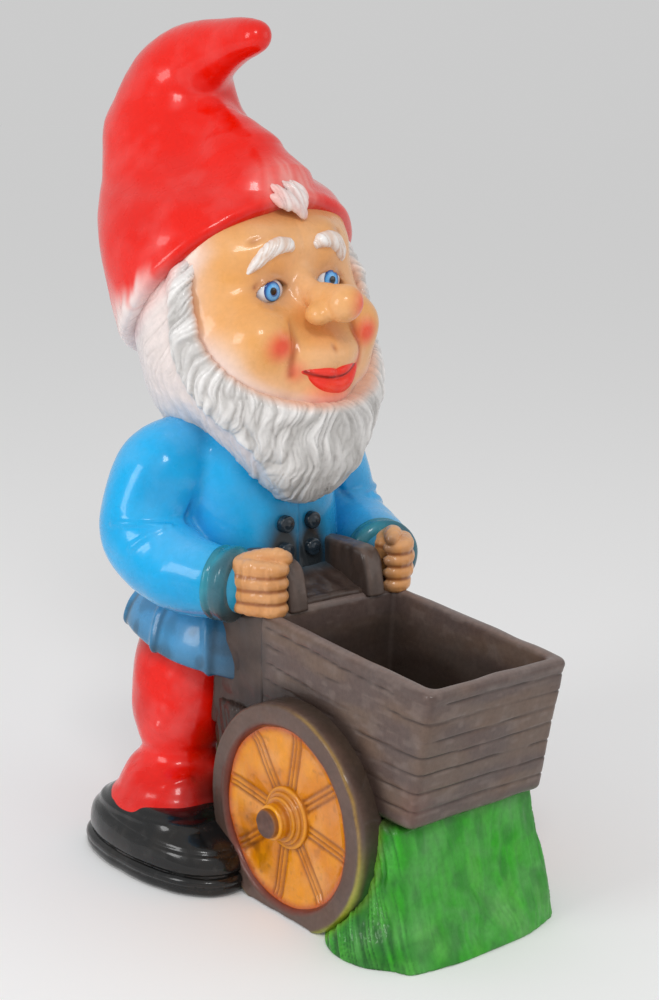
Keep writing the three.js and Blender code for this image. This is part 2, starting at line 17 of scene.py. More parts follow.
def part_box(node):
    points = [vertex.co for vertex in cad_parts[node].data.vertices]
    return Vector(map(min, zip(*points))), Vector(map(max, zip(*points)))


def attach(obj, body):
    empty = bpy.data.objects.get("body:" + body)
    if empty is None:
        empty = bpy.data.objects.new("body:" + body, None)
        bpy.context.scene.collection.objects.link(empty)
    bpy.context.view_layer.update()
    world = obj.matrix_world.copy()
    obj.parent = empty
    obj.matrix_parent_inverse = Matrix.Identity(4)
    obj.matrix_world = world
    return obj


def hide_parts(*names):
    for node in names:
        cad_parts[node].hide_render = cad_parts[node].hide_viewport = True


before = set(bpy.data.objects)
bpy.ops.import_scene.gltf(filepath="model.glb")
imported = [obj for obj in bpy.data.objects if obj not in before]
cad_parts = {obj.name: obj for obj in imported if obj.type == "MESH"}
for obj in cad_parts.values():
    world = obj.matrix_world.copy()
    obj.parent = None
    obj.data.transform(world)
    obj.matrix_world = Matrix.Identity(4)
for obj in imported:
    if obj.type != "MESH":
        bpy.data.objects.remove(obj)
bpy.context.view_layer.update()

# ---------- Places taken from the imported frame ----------
TUB_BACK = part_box("cart_tub")[1].y  # metres, the zero of the sculpt's Y


def spot(node):
    """Middle of a CAD node in sculpt millimetres."""
    low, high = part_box(node)
    at = (low + high) / 2
    return np.array((at.x, at.y - TUB_BACK, at.z)) * 1000


def half(node):
    """Half sizes of a CAD node in millimetres."""
    low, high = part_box(node)
    return np.array(high - low) * 500


EYE = spot("eye_left")
EYE_R = half("eye_left")[0]
WHEEL = spot("wheel_disc_left")
WHEEL_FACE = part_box("tyre_left")[1].x * 1000
WHEEL_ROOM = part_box("tyre_left")[0].x * 1000
TYRE_R = half("tyre_left")[1]
DISC_R = half("wheel_disc_left")[1]
TUB_HALF = half("cart_tub")[0]
TUB_FRONT = (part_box("cart_tub")[0].y - TUB_BACK) * 1000
TUB_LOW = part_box("cart_tub")[0].z * 1000
TUB_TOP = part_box("cart_tub")[1].z * 1000
SIDES = (("right", -1), ("left", 1))


# ---------- Colours ----------
def hue(code):
    """Linear colour from a hex code."""
    c = np.array([int(code[i : i + 2], 16) for i in (0, 2, 4)]) / 255
    return np.where(c <= 0.04045, c / 12.92, ((c + 0.055) / 1.055) ** 2.4)


RED = hue("ec1a0a")
RED_DEEP = hue("c20f0a")
PINK = hue("f0b0a8")
SKIN = hue("e9a55c")
SKIN_PALE = hue("f3cfae")
SKIN_DARK = hue("b9713a")
BLUSH = hue("ee5a3a")
LIPS = hue("f0301c")
WHITE = hue("f4f1ef")
GREY = hue("8a857f")
ROSE_WHITE = hue("f1dfda")
BLUE = hue("26aeea")
BLUE_DEEP = hue("1a7db4")
STEEL = hue("4c88b0")
TEAL = hue("3a9fb4")
BLACK = hue("0c0d0e")
BROWN = hue("6a574c")
BROWN_DARK = hue("3d302b")
BROWN_PALE = hue("8a7a74")
RUST = hue("7e2f1d")
YELLOW = hue("e8941a")
ORANGE = hue("cf7410")
OCHRE = hue("a85a10")
LIME = hue("b8c42a")
GREEN = hue("42a636")
GREEN_DEEP = hue("1d6424")
GREEN_PALE = hue("62b84c")
SCLERA = hue("e9eef4")
IRIS = hue("3fa4ee")
IRIS_RIM = hue("123c86")
PUPIL = hue("05070c")
RUBBER = hue("2a2a2b")


def mix(a, b, share):
    """Paint b over paint a by a share for each point; a paint is a colour, a hex code or a colour per point."""
    a, b = (hue(colour) if isinstance(colour, str) else colour for colour in (a, b))
    return a + (b - a) * np.clip(share, 0, 1)[:, None]


# ---------- Fields ----------
def fade(value, start, end):
    """0 before start and 1 after end, eased between."""
    t = np.clip((value - start) / (end - start), 0, 1)
    return t * t * (3 - 2 * t)


def bell(value, width):
    """1 where the value is 0, easing to 0 on both sides of it within about twice the width."""
    return np.exp(-((value / width) ** 2))


def near(p, at, radius, squash=(1, 1, 1)):
    """1 at a point, easing to 0 at that radius."""
    return 1 - fade(np.linalg.norm((p - np.array(at)) / np.array(squash), axis=1), 0, radius)


def join(a, b, k):
    """Union with a fillet of about k."""
    h = np.maximum(k - np.abs(a - b), 0) / k
    return np.minimum(a, b) - h * h * k / 4


def meet(a, b, k):
    """Intersection with an edge rounded by about k."""
    return -join(-a, -b, k)


def cut(a, b, k):
    """a without b."""
    return meet(a, -b, k)


def mirrored(p):
    """Both sides folded onto the gnome's left side."""
    return np.stack([np.abs(p[:, 0]), p[:, 1], p[:, 2]], 1)


def levels(table, z):
    """The table's columns after its first, the height, smoothly interpolated at each z."""
    table = np.asarray(table, float)
    knots, columns = table[:, 0], table[:, 1:]
    slopes = np.gradient(columns, knots, axis=0)
    i = np.clip(np.searchsorted(knots, z) - 1, 0, len(knots) - 2)
    span = knots[i + 1] - knots[i]
    t = np.clip((z - knots[i]) / span, 0, 1)
    rows = (
        ((2 * t**3 - 3 * t**2 + 1)[:, None]) * columns[i]
        + ((t**3 - 2 * t**2 + t) * span)[:, None] * slopes[i]
        + ((3 * t**2 - 2 * t**3)[:, None]) * columns[i + 1]
        + ((t**3 - t**2) * span)[:, None] * slopes[i + 1]
    )
    return rows.T


def tower(p, table, square=2.0, cap=6.0):
    """A stack of level ovals: rows of height, middle x, middle y, half width and half depth."""
    x0, y0, rx, ry = levels(table, p[:, 2])
    u = np.abs(p[:, 0] - x0) / rx
    v = np.abs(p[:, 1] - y0) / ry
    side = ((u**square + v**square) ** (1 / square) - 1) * np.minimum(rx, ry)
    ends = np.maximum(table[0][0] - p[:, 2], p[:, 2] - table[-1][0])
    return meet(side, ends, cap)


def ball(p, at, radii):
    """Ball or ellipsoid."""
    q = p - np.array(at, float)
    r = np.ones(3) * radii
    k0 = np.linalg.norm(q / r, axis=1)
    k1 = np.linalg.norm(q / (r * r), axis=1)
    return k0 * (k0 - 1) / np.maximum(k1, 1e-9)


def limb(p, stations, k=2.0):
    """Round cones joined through stations of x, y, z and radius."""
    stations = np.asarray(stations, float)
    body = None
    for a, b in zip(stations, stations[1:]):
        axis = b[:3] - a[:3]
        q = p - a[:3]
        t = np.clip(q @ axis / (axis @ axis), 0, 1)
        part = np.linalg.norm(q - t[:, None] * axis, axis=1) - (a[3] + t * (b[3] - a[3]))
        body = part if body is None else join(body, part, k)
    return body


def curve(stations, per=4):
    """Smooth run of stations through the given ones."""
    s = np.asarray(stations, float)
    s = np.concatenate([s[:1] * 2 - s[1:2], s, s[-1:] * 2 - s[-2:-1]])
    rows = []
    for i in range(1, len(s) - 2):
        for t in np.arange(per) / per:
            a, b, c, d = s[i - 1 : i + 3]
            rows.append(b + 0.5 * t * (c - a + t * (2 * a - 5 * b + 4 * c - d + t * (3 * (b - c) + d - a))))
    return np.array(rows + [s[-2]])


def block(p, low, high, round_by=2.0):
    """Box with rounded edges."""
    low, high = np.array(low, float), np.array(high, float)
    q = np.abs(p - (low + high) / 2) - (high - low) / 2 + round_by
    return np.linalg.norm(np.maximum(q, 0), axis=1) + np.minimum(q.max(1), 0) - round_by


def plane(p, at, normal):
    """Distance in front of a plane."""
    n = np.array(normal, float)
    return (p - np.array(at)) @ (n / np.linalg.norm(n))


def trace(p, points, width):
    """1 on a line through the points, easing to 0 at that distance from it."""
    path = [(*q, 0) for q in points]
    return bell(limb(p, curve(path, 3), 0.1), width)


LATTICE = np.random.default_rng(11).random((32, 32, 32))


def noise(p, size):
    """Smooth random values from 0 to 1, with lumps of that size: one number, or one for each axis."""
    q = p / np.array(size, float)
    cell = np.floor(q).astype(int)
    t = q - cell
    t = t * t * (3 - 2 * t)
    total = np.zeros(len(p))
    for corner in product((0, 1), repeat=3):
        weight = np.where(corner, t, 1 - t).prod(1)
        i, j, k = ((cell + corner) % 32).T
        total += weight * LATTICE[i, j, k]
    return total


def uneven(p, size, height):
    """Random rise and fall about 0, with lumps of that size and height."""
    return (noise(p, size) - 0.5) * height


def strands(across, along, width, length, layer=0.0):
    """Combed strands, 0 in the grooves between them and about 1 on their backs."""
    flat = np.stack([across, along, np.full_like(across, 13.7 * layer)], 1)
    return np.clip(np.abs(noise(flat, (width, length, 1)) * 2 - 1) * 1.8, 0, 1) ** 0.75


# ---------- Meshing ----------
def grid_values(field, low, shape, step):
    """The field on a grid; far from the surface only its sign is right."""
    blocks = np.array(shape) // 4
    middles = [np.arange(n) * 4 + 1.5 for n in blocks]
    centres = np.stack(np.meshgrid(*middles, indexing="ij"), -1).reshape(-1, 3)
    values = field(low + centres * step).reshape(blocks)
    for axis in range(3):
        values = np.repeat(values, 4, axis)
    cells = np.nonzero(np.abs(values) < 9 * step)
    values[cells] = field(low + np.stack(cells, 1) * step)
    return values


def net(values, low, step):
    """Quads over the zero level of a grid, one vertex in each cell that the surface passes through."""
    cells = np.array(values.shape)
    flat = lambda i: (i[:, 0] * cells[1] + i[:, 1]) * cells[2] + i[:, 2]
    spots, owners, quads = [], [], []
    for axis in range(3):
        a = np.moveaxis(values, axis, 0)[:-1]
        b = np.moveaxis(values, axis, 0)[1:]
        index = np.stack(np.nonzero((a < 0) != (b < 0)), 1)
        fa, fb = a[tuple(index.T)], b[tuple(index.T)]
        order = [axis] + [x for x in range(3) if x != axis]
        edge = np.empty_like(index)
        edge[:, order] = index
        at = edge.astype(float)
        at[:, axis] += fa / (fa - fb)
        around = []
        for du, dv in ((0, 0), (1, 0), (1, 1), (0, 1)):
            cell = edge.copy()
            cell[:, order[1]] -= du
            cell[:, order[2]] -= dv
            around.append(flat(cell))
            spots.append(at)
            owners.append(around[-1])
        ring = np.stack(around, 1)
        turn = (fa < 0) != (axis == 1)
        quads.append(np.where(turn[:, None], ring, ring[:, ::-1]))
    owners, spots, quads = np.concatenate(owners), np.concatenate(spots), np.concatenate(quads)
    used, back = np.unique(owners, return_inverse=True)
    count = np.bincount(back)
    verts = np.stack([np.bincount(back, spots[:, i]) / count for i in range(3)], 1)
    return low + verts * step, np.searchsorted(used, quads)


def split(verts, quads):
    """Each quad cut in four."""
    ends = np.stack([quads, np.roll(quads, -1, 1)], 2).reshape(-1, 2)
    ends.sort(axis=1)
    key, back = np.unique(ends[:, 0] * len(verts) + ends[:, 1], return_inverse=True)
    mids = (verts[key // len(verts)] + verts[key % len(verts)]) / 2
    m = len(verts) + back.reshape(-1, 4)
    c = len(verts) + len(mids) + np.arange(len(quads))
    fours = [np.stack([quads[:, i], m[:, i], c, m[:, i - 1]], 1) for i in range(4)]
    return np.concatenate([verts, mids, verts[quads].mean(1)]), np.concatenate(fours)


def gradient(field, p, here, reach=0.35):
    """Slope of the field along each axis at points where its values are known."""
    steps = [field(p + reach * axis) - here for axis in np.eye(3)]
    return np.stack(steps, 1) / reach


def settle(field, p, rounds=2):
    """Points moved onto the surface, and the surface's normals there."""
    for _ in range(rounds):
        here = field(p)
        slope = gradient(field, p, here)
        move = here / np.maximum((slope**2).sum(1), 0.2)
        p = p - slope * np.clip(move, -3, 3)[:, None]
    slope = gradient(field, p, field(p))
    return p, slope / np.maximum(np.linalg.norm(slope, axis=1), 1e-6)[:, None]


def relax(verts, quads):
    """Each vertex moved half way to the middle of its neighbours."""
    a, b = quads.ravel(), np.roll(quads, -1, 1).ravel()
    count = np.bincount(a, minlength=len(verts)) + np.bincount(b, minlength=len(verts))
    total = [
        np.bincount(a, verts[b, i], len(verts)) + np.bincount(b, verts[a, i], len(verts)) for i in range(3)
    ]
    return verts * 0.5 + np.stack(total, 1) / count[:, None] * 0.5


def sculpt(field, low, high, step, splits=1):
    """Vertices, normals and quads of the field's surface inside a box."""
    low = np.array(low, float)
    shape = (np.ceil((np.array(high) - low) / step / 4).astype(int) + 1) * 4
    verts, quads = net(grid_values(field, low, shape, step), low, step)
    verts = relax(verts, quads)
    for _ in range(splits):
        verts, _ = settle(field, verts, 1)
        verts = relax(verts, quads)
        verts, quads = split(verts, quads)
    verts, normals = settle(field, verts)
    return verts, normals, quads


# ---------- Paint ----------
def coated(name, rough=(0.2, 0.34), coat=0.55, grain=0.06, speckle=0.05, bump_size=900.0, fleck_size=260.0):
    """Airbrushed enamel: the sprayed colours under a clear coat, with a fine orange-peel skin."""
    material = bpy.data.materials.new(name)
    material.use_nodes = True
    nodes, link = material.node_tree.nodes, material.node_tree.links.new
    shader = nodes["Principled BSDF"]
    sprayed = nodes.new("ShaderNodeAttribute")
    sprayed.attribute_name = "paint"
    place = nodes.new("ShaderNodeTexCoord")

    def lumps(scale, detail):
        n = nodes.new("ShaderNodeTexNoise")
        n.inputs["Scale"].default_value = scale
        n.inputs["Detail"].default_value = detail
        link(place.outputs["Object"], n.inputs["Vector"])
        return n.outputs["Fac"]

    def ranged(value, low, high):
        n = nodes.new("ShaderNodeMapRange")
        n.inputs["From Min"].default_value = 0.3
        n.inputs["From Max"].default_value = 0.7
        n.inputs["To Min"].default_value = low
        n.inputs["To Max"].default_value = high
        link(value, n.inputs["Value"])
        return n.outputs["Result"]

    # spray speckle: each patch a little lighter or darker than its neighbours
    shade = nodes.new("ShaderNodeHueSaturation")
    link(sprayed.outputs["Color"], shade.inputs["Color"])
    link(ranged(lumps(fleck_size, 4), 1 - speckle, 1 + speckle), shade.inputs["Value"])
    link(ranged(lumps(35, 2), 1 - speckle, 1 + speckle), shade.inputs["Saturation"])
    link(shade.outputs["Color"], shader.inputs["Base Color"])
    link(ranged(lumps(60, 3), *rough), shader.inputs["Roughness"])
    bump = nodes.new("ShaderNodeBump")
    bump.inputs["Strength"].default_value = grain
    bump.inputs["Distance"].default_value = 0.001
    link(lumps(bump_size, 2), bump.inputs["Height"])
    link(bump.outputs["Normal"], shader.inputs["Normal"])
    shader.inputs["Coat Weight"].default_value = coat
    shader.inputs["Coat Roughness"].default_value = 0.07
    shader.inputs["Specular IOR Level"].default_value = 0.25
    return material


FINISH = {
    "hat": coated("hat_enamel", (0.2, 0.34), 0.34, 0.05, 0.03),
    "skin": coated("skin_enamel", (0.24, 0.36), 0.34, 0.05, 0.035),
    "hair": coated("hair_enamel", (0.28, 0.44), 0.35, 0.12, 0.05),
    "jacket": coated("jacket_enamel", (0.2, 0.34), 0.34, 0.05, 0.035),
    "trousers": coated("trouser_enamel", (0.2, 0.34), 0.34, 0.06, 0.04),
    "shoe": coated("shoe_enamel", (0.18, 0.32), 0.5, 0.08, 0.12),
    "cart": coated("cart_enamel", (0.34, 0.5), 0.25, 0.14, 0.1),
    "wheel": coated("wheel_enamel", (0.2, 0.34), 0.6, 0.07, 0.06),
    "grass": coated("grass_enamel", (0.34, 0.52), 0.25, 0.16, 0.1),
    "eye": coated("eye_glass", (0.05, 0.08), 1.0, 0.0, 0.02),
    "rubber": coated("plug_rubber", (0.55, 0.7), 0.0, 0.2, 0.06),
}


# ---------- Pieces ----------
def flip(verts, normals, quads):
    """The same piece on the gnome's other side."""
    turn = np.array((-1, 1, 1))
    return verts * turn, normals * turn, quads[:, ::-1]


def piece(name, shape, paint, finish, nodes, body="figure"):
    """A named mesh from (vertices, normals, quads), painted point by point."""
    verts, normals, quads = shape
    mesh = bpy.data.meshes.new(name)
    mesh.vertices.add(len(verts))
    mesh.vertices.foreach_set("co", (verts / 1000 + (0, TUB_BACK, 0)).ravel())
    mesh.loops.add(quads.size)
    mesh.loops.foreach_set("vertex_index", quads.ravel().astype(np.int32))
    mesh.polygons.add(len(quads))
    mesh.polygons.foreach_set("loop_start", np.arange(len(quads), dtype=np.int32) * 4)
    mesh.polygons.foreach_set("use_smooth", np.ones(len(quads), bool))
    mesh.update(calc_edges=True)
    colour = mesh.color_attributes.new("paint", "FLOAT_COLOR", "POINT")
    rgba = np.ones((len(verts), 4), np.float32)
    rgba[:, :3] = paint(verts, normals)
    colour.data.foreach_set("color", rgba.ravel())
    mesh.materials.append(FINISH[finish])
    thing = bpy.data.objects.new(name, mesh)
    bpy.context.scene.collection.objects.link(thing)
    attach(thing, body)
    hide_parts(*nodes)
    return thing


def carved(shape, relief):
    """The shape with its surface moved out by relief(vertices, normals)."""
    verts, normals, quads = shape
    return verts + normals * relief(verts, normals)[:, None], normals, quads


def paired(*rows):
    """Pieces on both sides, each from a row of stem, left shape, left paint, finish, slot and node."""
    for name, s in SIDES:
        for stem, shape, paint, finish, slot, node in rows:
            turned = shape if s > 0 else flip(*shape)
            sprayed = lambda p, n: paint(p * (s, 1, 1), n * (s, 1, 1))
            piece(f"{stem}_{name}", turned, sprayed, finish, [f"{node}_{name}"])


TILT = 0.078  # the head leans: its left side is higher


def upright(p):
    """Points of the leaning head, stood upright."""
    x, y, z = p.T
    return np.stack([x, y, z - TILT * x], 1)


# ---------- Hat ----------
HAT = (
    (384, 0, 104, 92, 90),
    (406, 0, 110, 98, 97),
    (440, 0, 119, 104, 103),
    (474, 0, 132, 106, 103),
    (508, 0, 144, 107, 102),
    (530, 0, 153, 101, 104),
    (545, 0, 163, 92, 101),
    (556, 0, 178, 82, 90),
    (567, 0, 191, 76, 80),
    (579, 0, 203, 70, 71),
    (597, 0, 213, 63, 64),
    (612, 0, 220, 54, 54),
    (624, 0, 218, 47, 47),
)
HORN = ((0, 217, 604, 52), (0, 216, 625, 45.5), (0, 200, 643, 36.5), (0, 177, 654, 28.5),
        (0, 151, 662, 21.5), (0, 129, 667, 17), (0, 110, 669, 13.5))
PROW = ((0, 112, 538, 53), (0, 130, 562, 40), (0, 160, 588, 28))  # the front of the crown above the forelock


BRIM_SLOPE = 0.9325  # its fall to the back, the tangent of 43 degrees
BRIM_SCALE = 0.73  # that angle's cosine, which turns heights into distances


def brim(p):
    """Height above the brim's curved plane: it dips at the sides and lifts at the forelock."""
    x, y, z = p.T
    dip = 10 * (x / 100) ** 2
    lift = 5 * bell(x, 16)
    return (z - 545 + dip - lift + BRIM_SLOPE * (y - 52)) * BRIM_SCALE


def hat_field(p):
    q = upright(p)
    crown = tower(q, HAT, cap=26)
    crown = join(crown, limb(q, curve(HORN, 3), 3), 20)
    crown = join(crown, limb(q, PROW, 6), 14)
    crown = join(crown, ball(q, (2, 142, 592), (17, 17, 13)), 14)
    return meet(crown, -brim(q), 7)


def hat_relief(p, n):
    q = upright(p)
    x, y, z = q.T
    edge = brim(q)
    dents = uneven(q, 46, 1.8) + uneven(q, 17, 0.5)
    rolled = 1.6 * bell(edge - 7, 6)
    back = fade(y, 120, 190)
    fuzz = (strands(np.arctan2(x, 110 - y) * 90, z, 4, 26, 1) - 0.6) * 1.2
    fuzz *= (1 - fade(edge, 4, 30)) * fade(y, 90, 130)
    return dents * fade(edge, 0, 20) + rolled * (1 - back) + fuzz


def hat_paint(p, n):
    q = upright(p)
    x, y, z = q.T
    edge = brim(q)
    # deeper red in random patches, and painted shade along the brim's lower edge, under its roll
    colour = mix(RED, RED_DEEP, 0.2 * fade(noise(q, 60), 0.45, 0.75) + 0.5 * (1 - fade(edge, 0, 6)))
    comb = noise(np.stack([np.arctan2(x, 110 - y) * 90, z, y], 1), (5, 22, 60))
    reach = 14 + 34 * fade(y, 100, 190)
    hoar = (1 - fade(edge + comb * 16 - 8, 0, reach)) * fade(y, 86, 135)
    colour = mix(colour, PINK, hoar * 1.1)
    colour = mix(colour, WHITE, hoar**2 * 0.8)
    # pale pink overspray round the forelock, and a painted pale reflection along the hat's left side above the
    # brim
    overspray_and_sheen = near(q, (4, 62, 556), 40, (1.2, 1, 1)) * (0.35 + 0.6 * comb)
    overspray_and_sheen += near(q, (70, 110, 520), 60) * 0.45
    return mix(colour, PINK, overspray_and_sheen)


hat_shape = sculpt(hat_field, (-125, 25, 370), (125, 310, 705), 3.4)
piece("hat_shell", carved(hat_shape, hat_relief), hat_paint, "hat", ["hat"])

# ---------- Head ----------
SKULL = (
    (374, 0, 74, 62, 52),
    (390, 0, 80, 78, 66),
    (410, 0, 90, 85, 79),
    (430, 0, 101, 89, 86),
    (447, 0, 111, 91, 88),
    (467, 0, 122, 91, 87),
    (485, 0, 130, 91, 87),
    (510, 0, 139, 90, 93),
    (528, 0, 147, 85, 91),
    (544, 0, 158, 72, 80),
    (558, 0, 170, 52, 60),
)
EYE_X, EYE_Y, EYE_Z = EYE[0], 54.5, 476
# Depth, width and points of both lids, crow's foot, smile crease, nostril, forehead and lip groove
FACE_LINES = (
    (1.5, 1.8, ((-46, 50, 477), (-40, 44, 486), (-31, 41, 490.5), (-21, 40, 487))),
    (0.8, 1.8, ((-42, 49, 467), (-31, 43, 462.5), (-20, 41, 466))),
    (1.6, 1.5, ((-44, 50, 471), (-51, 54, 466), (-58, 61, 464))),
    (2.2, 3.4, ((-23, 20, 464), (-29, 18, 452), (-31, 14, 438), (-34, 13, 424), (-33, 14, 414))),
    (1.6, 1.8, ((-17, -3, 452), (-9, -6, 449), (-4, -4, 448))),
    (1.2, 3.0, ((-50, 64, 508), (-40, 48, 518), (-24, 43, 525), (-8, 42, 524))),
    (1.4, 2.4, ((0, 2, 440), (0, 2, 428), (0, 2, 420))),
)


def both(points):
    """The points of a line on the gnome's right side, as they are for points folded to its left."""
    return [(abs(x), y, z) for x, y, z in points]


def eye_slit(m):
    """Almond opening between the lids, its outer corner lower."""
    x = m[:, 0] - EYE_X
    z = m[:, 2] - EYE_Z + 0.16 * x
    almond = np.maximum(np.hypot(x, z + 10.6), np.hypot(x, z - 10.0)) - 18.6
    return np.maximum(almond, m[:, 1] - EYE_Y - 2)


def face_window(q):
    """1 on the outline of the opening that shows the face."""
    return (np.abs(q[:, 0] / 84) ** 2.3 + np.abs((q[:, 2] - 457) / 67) ** 2.3) ** (1 / 2.3)


def head_field(p):
    q = upright(p)
    m = mirrored(q)
    brow = limb(m, ((8, 58, 508, 12), (28, 59, 508, 14), (46, 70, 500, 12)), 4)
    cheek = ball(m, (45, 43, 441), (27, 29, 24))
    muzzle = ball(q, (2, 32, 423), (36, 34, 21))
    chin = ball(q, (2, 26, 394), (28, 27, 16))
    socket = ball(m, (29, 31, 477), (17, 12, 11))
    nose = limb(q, ((0, 52, 488, 9), (0, 38, 474, 9), (0, 16, 469, 11.5), (0, -8, 467.5, 14.8)), 5)
    nostril = ball(m, (13, 7, 459.5), (10, 12, 9))
    lids = ball(m, (EYE_X, EYE_Y, EYE_Z), EYE_R + 2.0)
    face = tower(q, SKULL, 2.45, 10)
    for form, fillet in ((brow, 14), (cheek, 18), (muzzle, 14), (chin, 12)):
        face = join(face, form, fillet)
    face = cut(face, socket, 10)
    for form, fillet in ((nose, 7), (nostril, 5), (lids, 3)):
        face = join(face, form, fillet)
    face = cut(face, eye_slit(m), 1.6)
    return meet(face, p[:, 1] - 128, 4)


def face_lines(m):
    """Carved lines of the face, each as deep as its row says."""
    return sum(depth * trace(m, both(points), width) for depth, width, points in FACE_LINES)


def head_relief(p, n):
    m = mirrored(upright(p))
    return uneven(p, 24, 0.7) - face_lines(m)


def head_paint(p, n):
    q = upright(p)
    x, _, z = q.T
    m = mirrored(q)
    colour = mix(SKIN, SKIN_PALE, 0.35 * noise(q, 28))
    rim = face_window(q)
    low_side = 1 - fade(z, 425, 462)
    colour = mix(colour, SKIN_PALE, fade(rim, 0.74, 0.97) * low_side * 0.45)
    frosted = fade(rim, 0.86, 1.05) * (0.25 + 0.6 * low_side) * (1 - fade(z, 480, 505))
    colour = mix(colour, ROSE_WHITE, frosted)
    # painted shade on the forehead under the hat's brim
    colour = mix(colour, SKIN_DARK, 0.5 * fade(z, 512, 545) * (1 - fade(np.abs(x), 60, 90)))
    # painted shade in the eye sockets
    socket = near(m, (30, 44, 478), 25, (1.2, 1, 0.85))
    colour = mix(colour, "a0705c", socket * 0.75)
    # painted shade in the carved lines and creases of the face
    lines = face_lines(m)
    colour = mix(colour, "a5582c", np.clip(lines, 0, 2) * 0.4)
    cheek = near(m, (44, 13, 437), 20, (1, 1.2, 0.9))
    colour = mix(colour, BLUSH, cheek * 1.1)
    colour = mix(colour, BLUSH, near(q, (8, -20, 467), 18))
    colour = mix(colour, BLUSH, 0.8 * near(q, (0, 4, 396), 26, (1.3, 1, 0.75)))
    colour = mix(colour, BLUSH, 0.6 * near(m, (30, 12, 416), 14))
    # painted shade under the nose, on faces that look down
    colour = mix(colour, SKIN_DARK, 0.5 * near(m, (14, 4, 449), 14) * fade(-n[:, 2], -0.2, 0.6))
    return mix(colour, ROSE_WHITE, 0.9 * fade(rim, 0.96, 1.1) * fade(m[:, 0], 62, 88))


head_shape = sculpt(head_field, (-100, -30, 360), (100, 140, 570), 2.1)
piece("face", carved(head_shape, head_relief), head_paint, "skin", ["head"])

# ---------- Eyes ----------
IRIS_R = 7.9
PUPIL_R = 3.0


def eye_rows():
    """Rings of the eyeball from its front: radius, and distance in front of its middle."""
    angles = np.concatenate([np.linspace(0, 0.62, 26), np.linspace(0.66, pi, 30)])
    return np.stack([np.sin(angles), np.cos(angles)], 1) * EYE_R


def turned_x(rows, around=64):
    """Closed body of revolution about -Y: rows of radius and distance forward."""
    a = np.arange(around) / around * 2 * pi
    r = np.maximum(rows[:, :1], 0.02)
    verts = np.stack([r * np.cos(a), np.broadcast_to(-rows[:, 1:2], (len(rows), around)), r * np.sin(a)], 2)
    i = np.arange(len(rows) - 1)[:, None] * around
    j = np.arange(around)[None]
    k = (np.arange(around)[None] + 1) % around
    quads = np.stack([i + j, i + around + j, i + around + k, i + k], 2).reshape(-1, 4)
    return verts.reshape(-1, 3), quads


def disc_body(radius, front, back, crown, rings=14, around=64):
    """Thin crowned disc facing -Y, with a rounded edge."""
    t = np.linspace(0, 1, rings)
    top = np.stack([radius * t, front + crown * (1 - t**2)], 1)
    under = np.stack([radius * t[::-1], 0 * t + back], 1)
    rows = np.concatenate([top, [(radius, (front + back) / 2)], under])
    return turned_x(rows, around)


def shaped(verts, quads, turn, at):
    """Body turned and moved into place, with outward normals from its middle."""
    verts = verts @ np.array(turn.to_3x3()).T
    normals = verts / np.maximum(np.linalg.norm(verts, axis=1), 1e-6)[:, None]
    return verts + at, normals, quads


for name, s in SIDES:
    at = np.array((s * EYE_X, EYE_Y, EYE_Z + TILT * s * EYE_X + s))
    look = Matrix.Rotation(radians(3 * s), 4, "Z") @ Matrix.Rotation(radians(-4), 4, "X")

    def white_paint(p, n, at=at):
        # painted shade towards the eyeball's edges, where it turns in under the lids
        rim = fade(np.hypot(p[:, 0] - at[0], p[:, 2] - at[2]), 8, 15)
        return mix(SCLERA, "a99aa6", rim * 0.7)

    def iris_paint(p, n, at=at):
        r = np.hypot(p[:, 0] - at[0], p[:, 2] - at[2])
        a = np.arctan2(p[:, 2] - at[2], p[:, 0] - at[0])
        rays = noise(np.stack([np.cos(a) * 20, np.sin(a) * 20, r], 1), (1.6, 1.6, 5))
        colour = mix(IRIS, "a5dcff", rays * 0.6 * (1 - fade(r, 4.4, 6.8)))
        return mix(colour, IRIS_RIM, fade(r, 5.8, IRIS_R) + (1 - fade(r, 2.9, 4.0)) * 0.8)

    def pupil_paint(p, n):
        return PUPIL * (0.6 + noise(p, 2)[:, None])

    bulb_verts, bulb_quads = turned_x(eye_rows())
    bulb = bulb_verts * (1.3, 1, 1), bulb_quads
    iris = disc_body(IRIS_R, EYE_R - 1.35, EYE_R - 4, 1.65)
    pupil = disc_body(PUPIL_R, EYE_R + 0.25, EYE_R - 2.5, 0.35)
    for stem, body, paint, slot, node in (
        ("eyeball", bulb, white_paint, "eye_white", "eye"),
        ("iris_disc", iris, iris_paint, "iris_blue", "iris"),
        ("pupil_dot", pupil, pupil_paint, "pupil_black", "pupil"),
    ):
        piece(f"{stem}_{name}", shaped(*body, look, at), paint, "eye", [f"{node}_{name}"])

# ---------- Eyebrows, lips and forelock ----------
BROW = ((-13, 44, 508, 3.4), (-19, 42.5, 511, 5.2), (-28, 43, 511, 5.8), (-36, 45.5, 506, 5.4),
        (-43, 48.5, 499, 4.2), (-48, 53, 492, 2.2))


def brow_field(p):
    q = mirrored(upright(p))
    return limb(q, curve([(-x, y, z, r) for x, y, z, r in BROW], 3), 3)


def brow_shape(s):
    low, high = sorted((s * 2, s * 60))
    return sculpt(brow_field, (low, 28, 476), (high, 74, 534), 1.8)


def brow_comb(p):
    m = mirrored(upright(p))
    x, _, z = m.T
    return strands(x * 0.9 + (z - 500) * 0.5, z - 0.5 * x, 2.0, 14, 5)


for name, s in SIDES:
    shape = carved(brow_shape(s), lambda p, n: (brow_comb(p) - 0.7) * 0.9)
    # painted shade in the grooves between the brow's strands
    paint = lambda p, n: mix(WHITE, "d9b49a", (1 - brow_comb(p)) * 0.8)
    piece(f"brow_{name}", shape, paint, "hair", [f"eyebrow_{name}"])


def mouth_sides(p, middle):
    """Both sides of a lip folded together about its middle."""
    return mirrored(upright(p) - (middle, 0, 0))


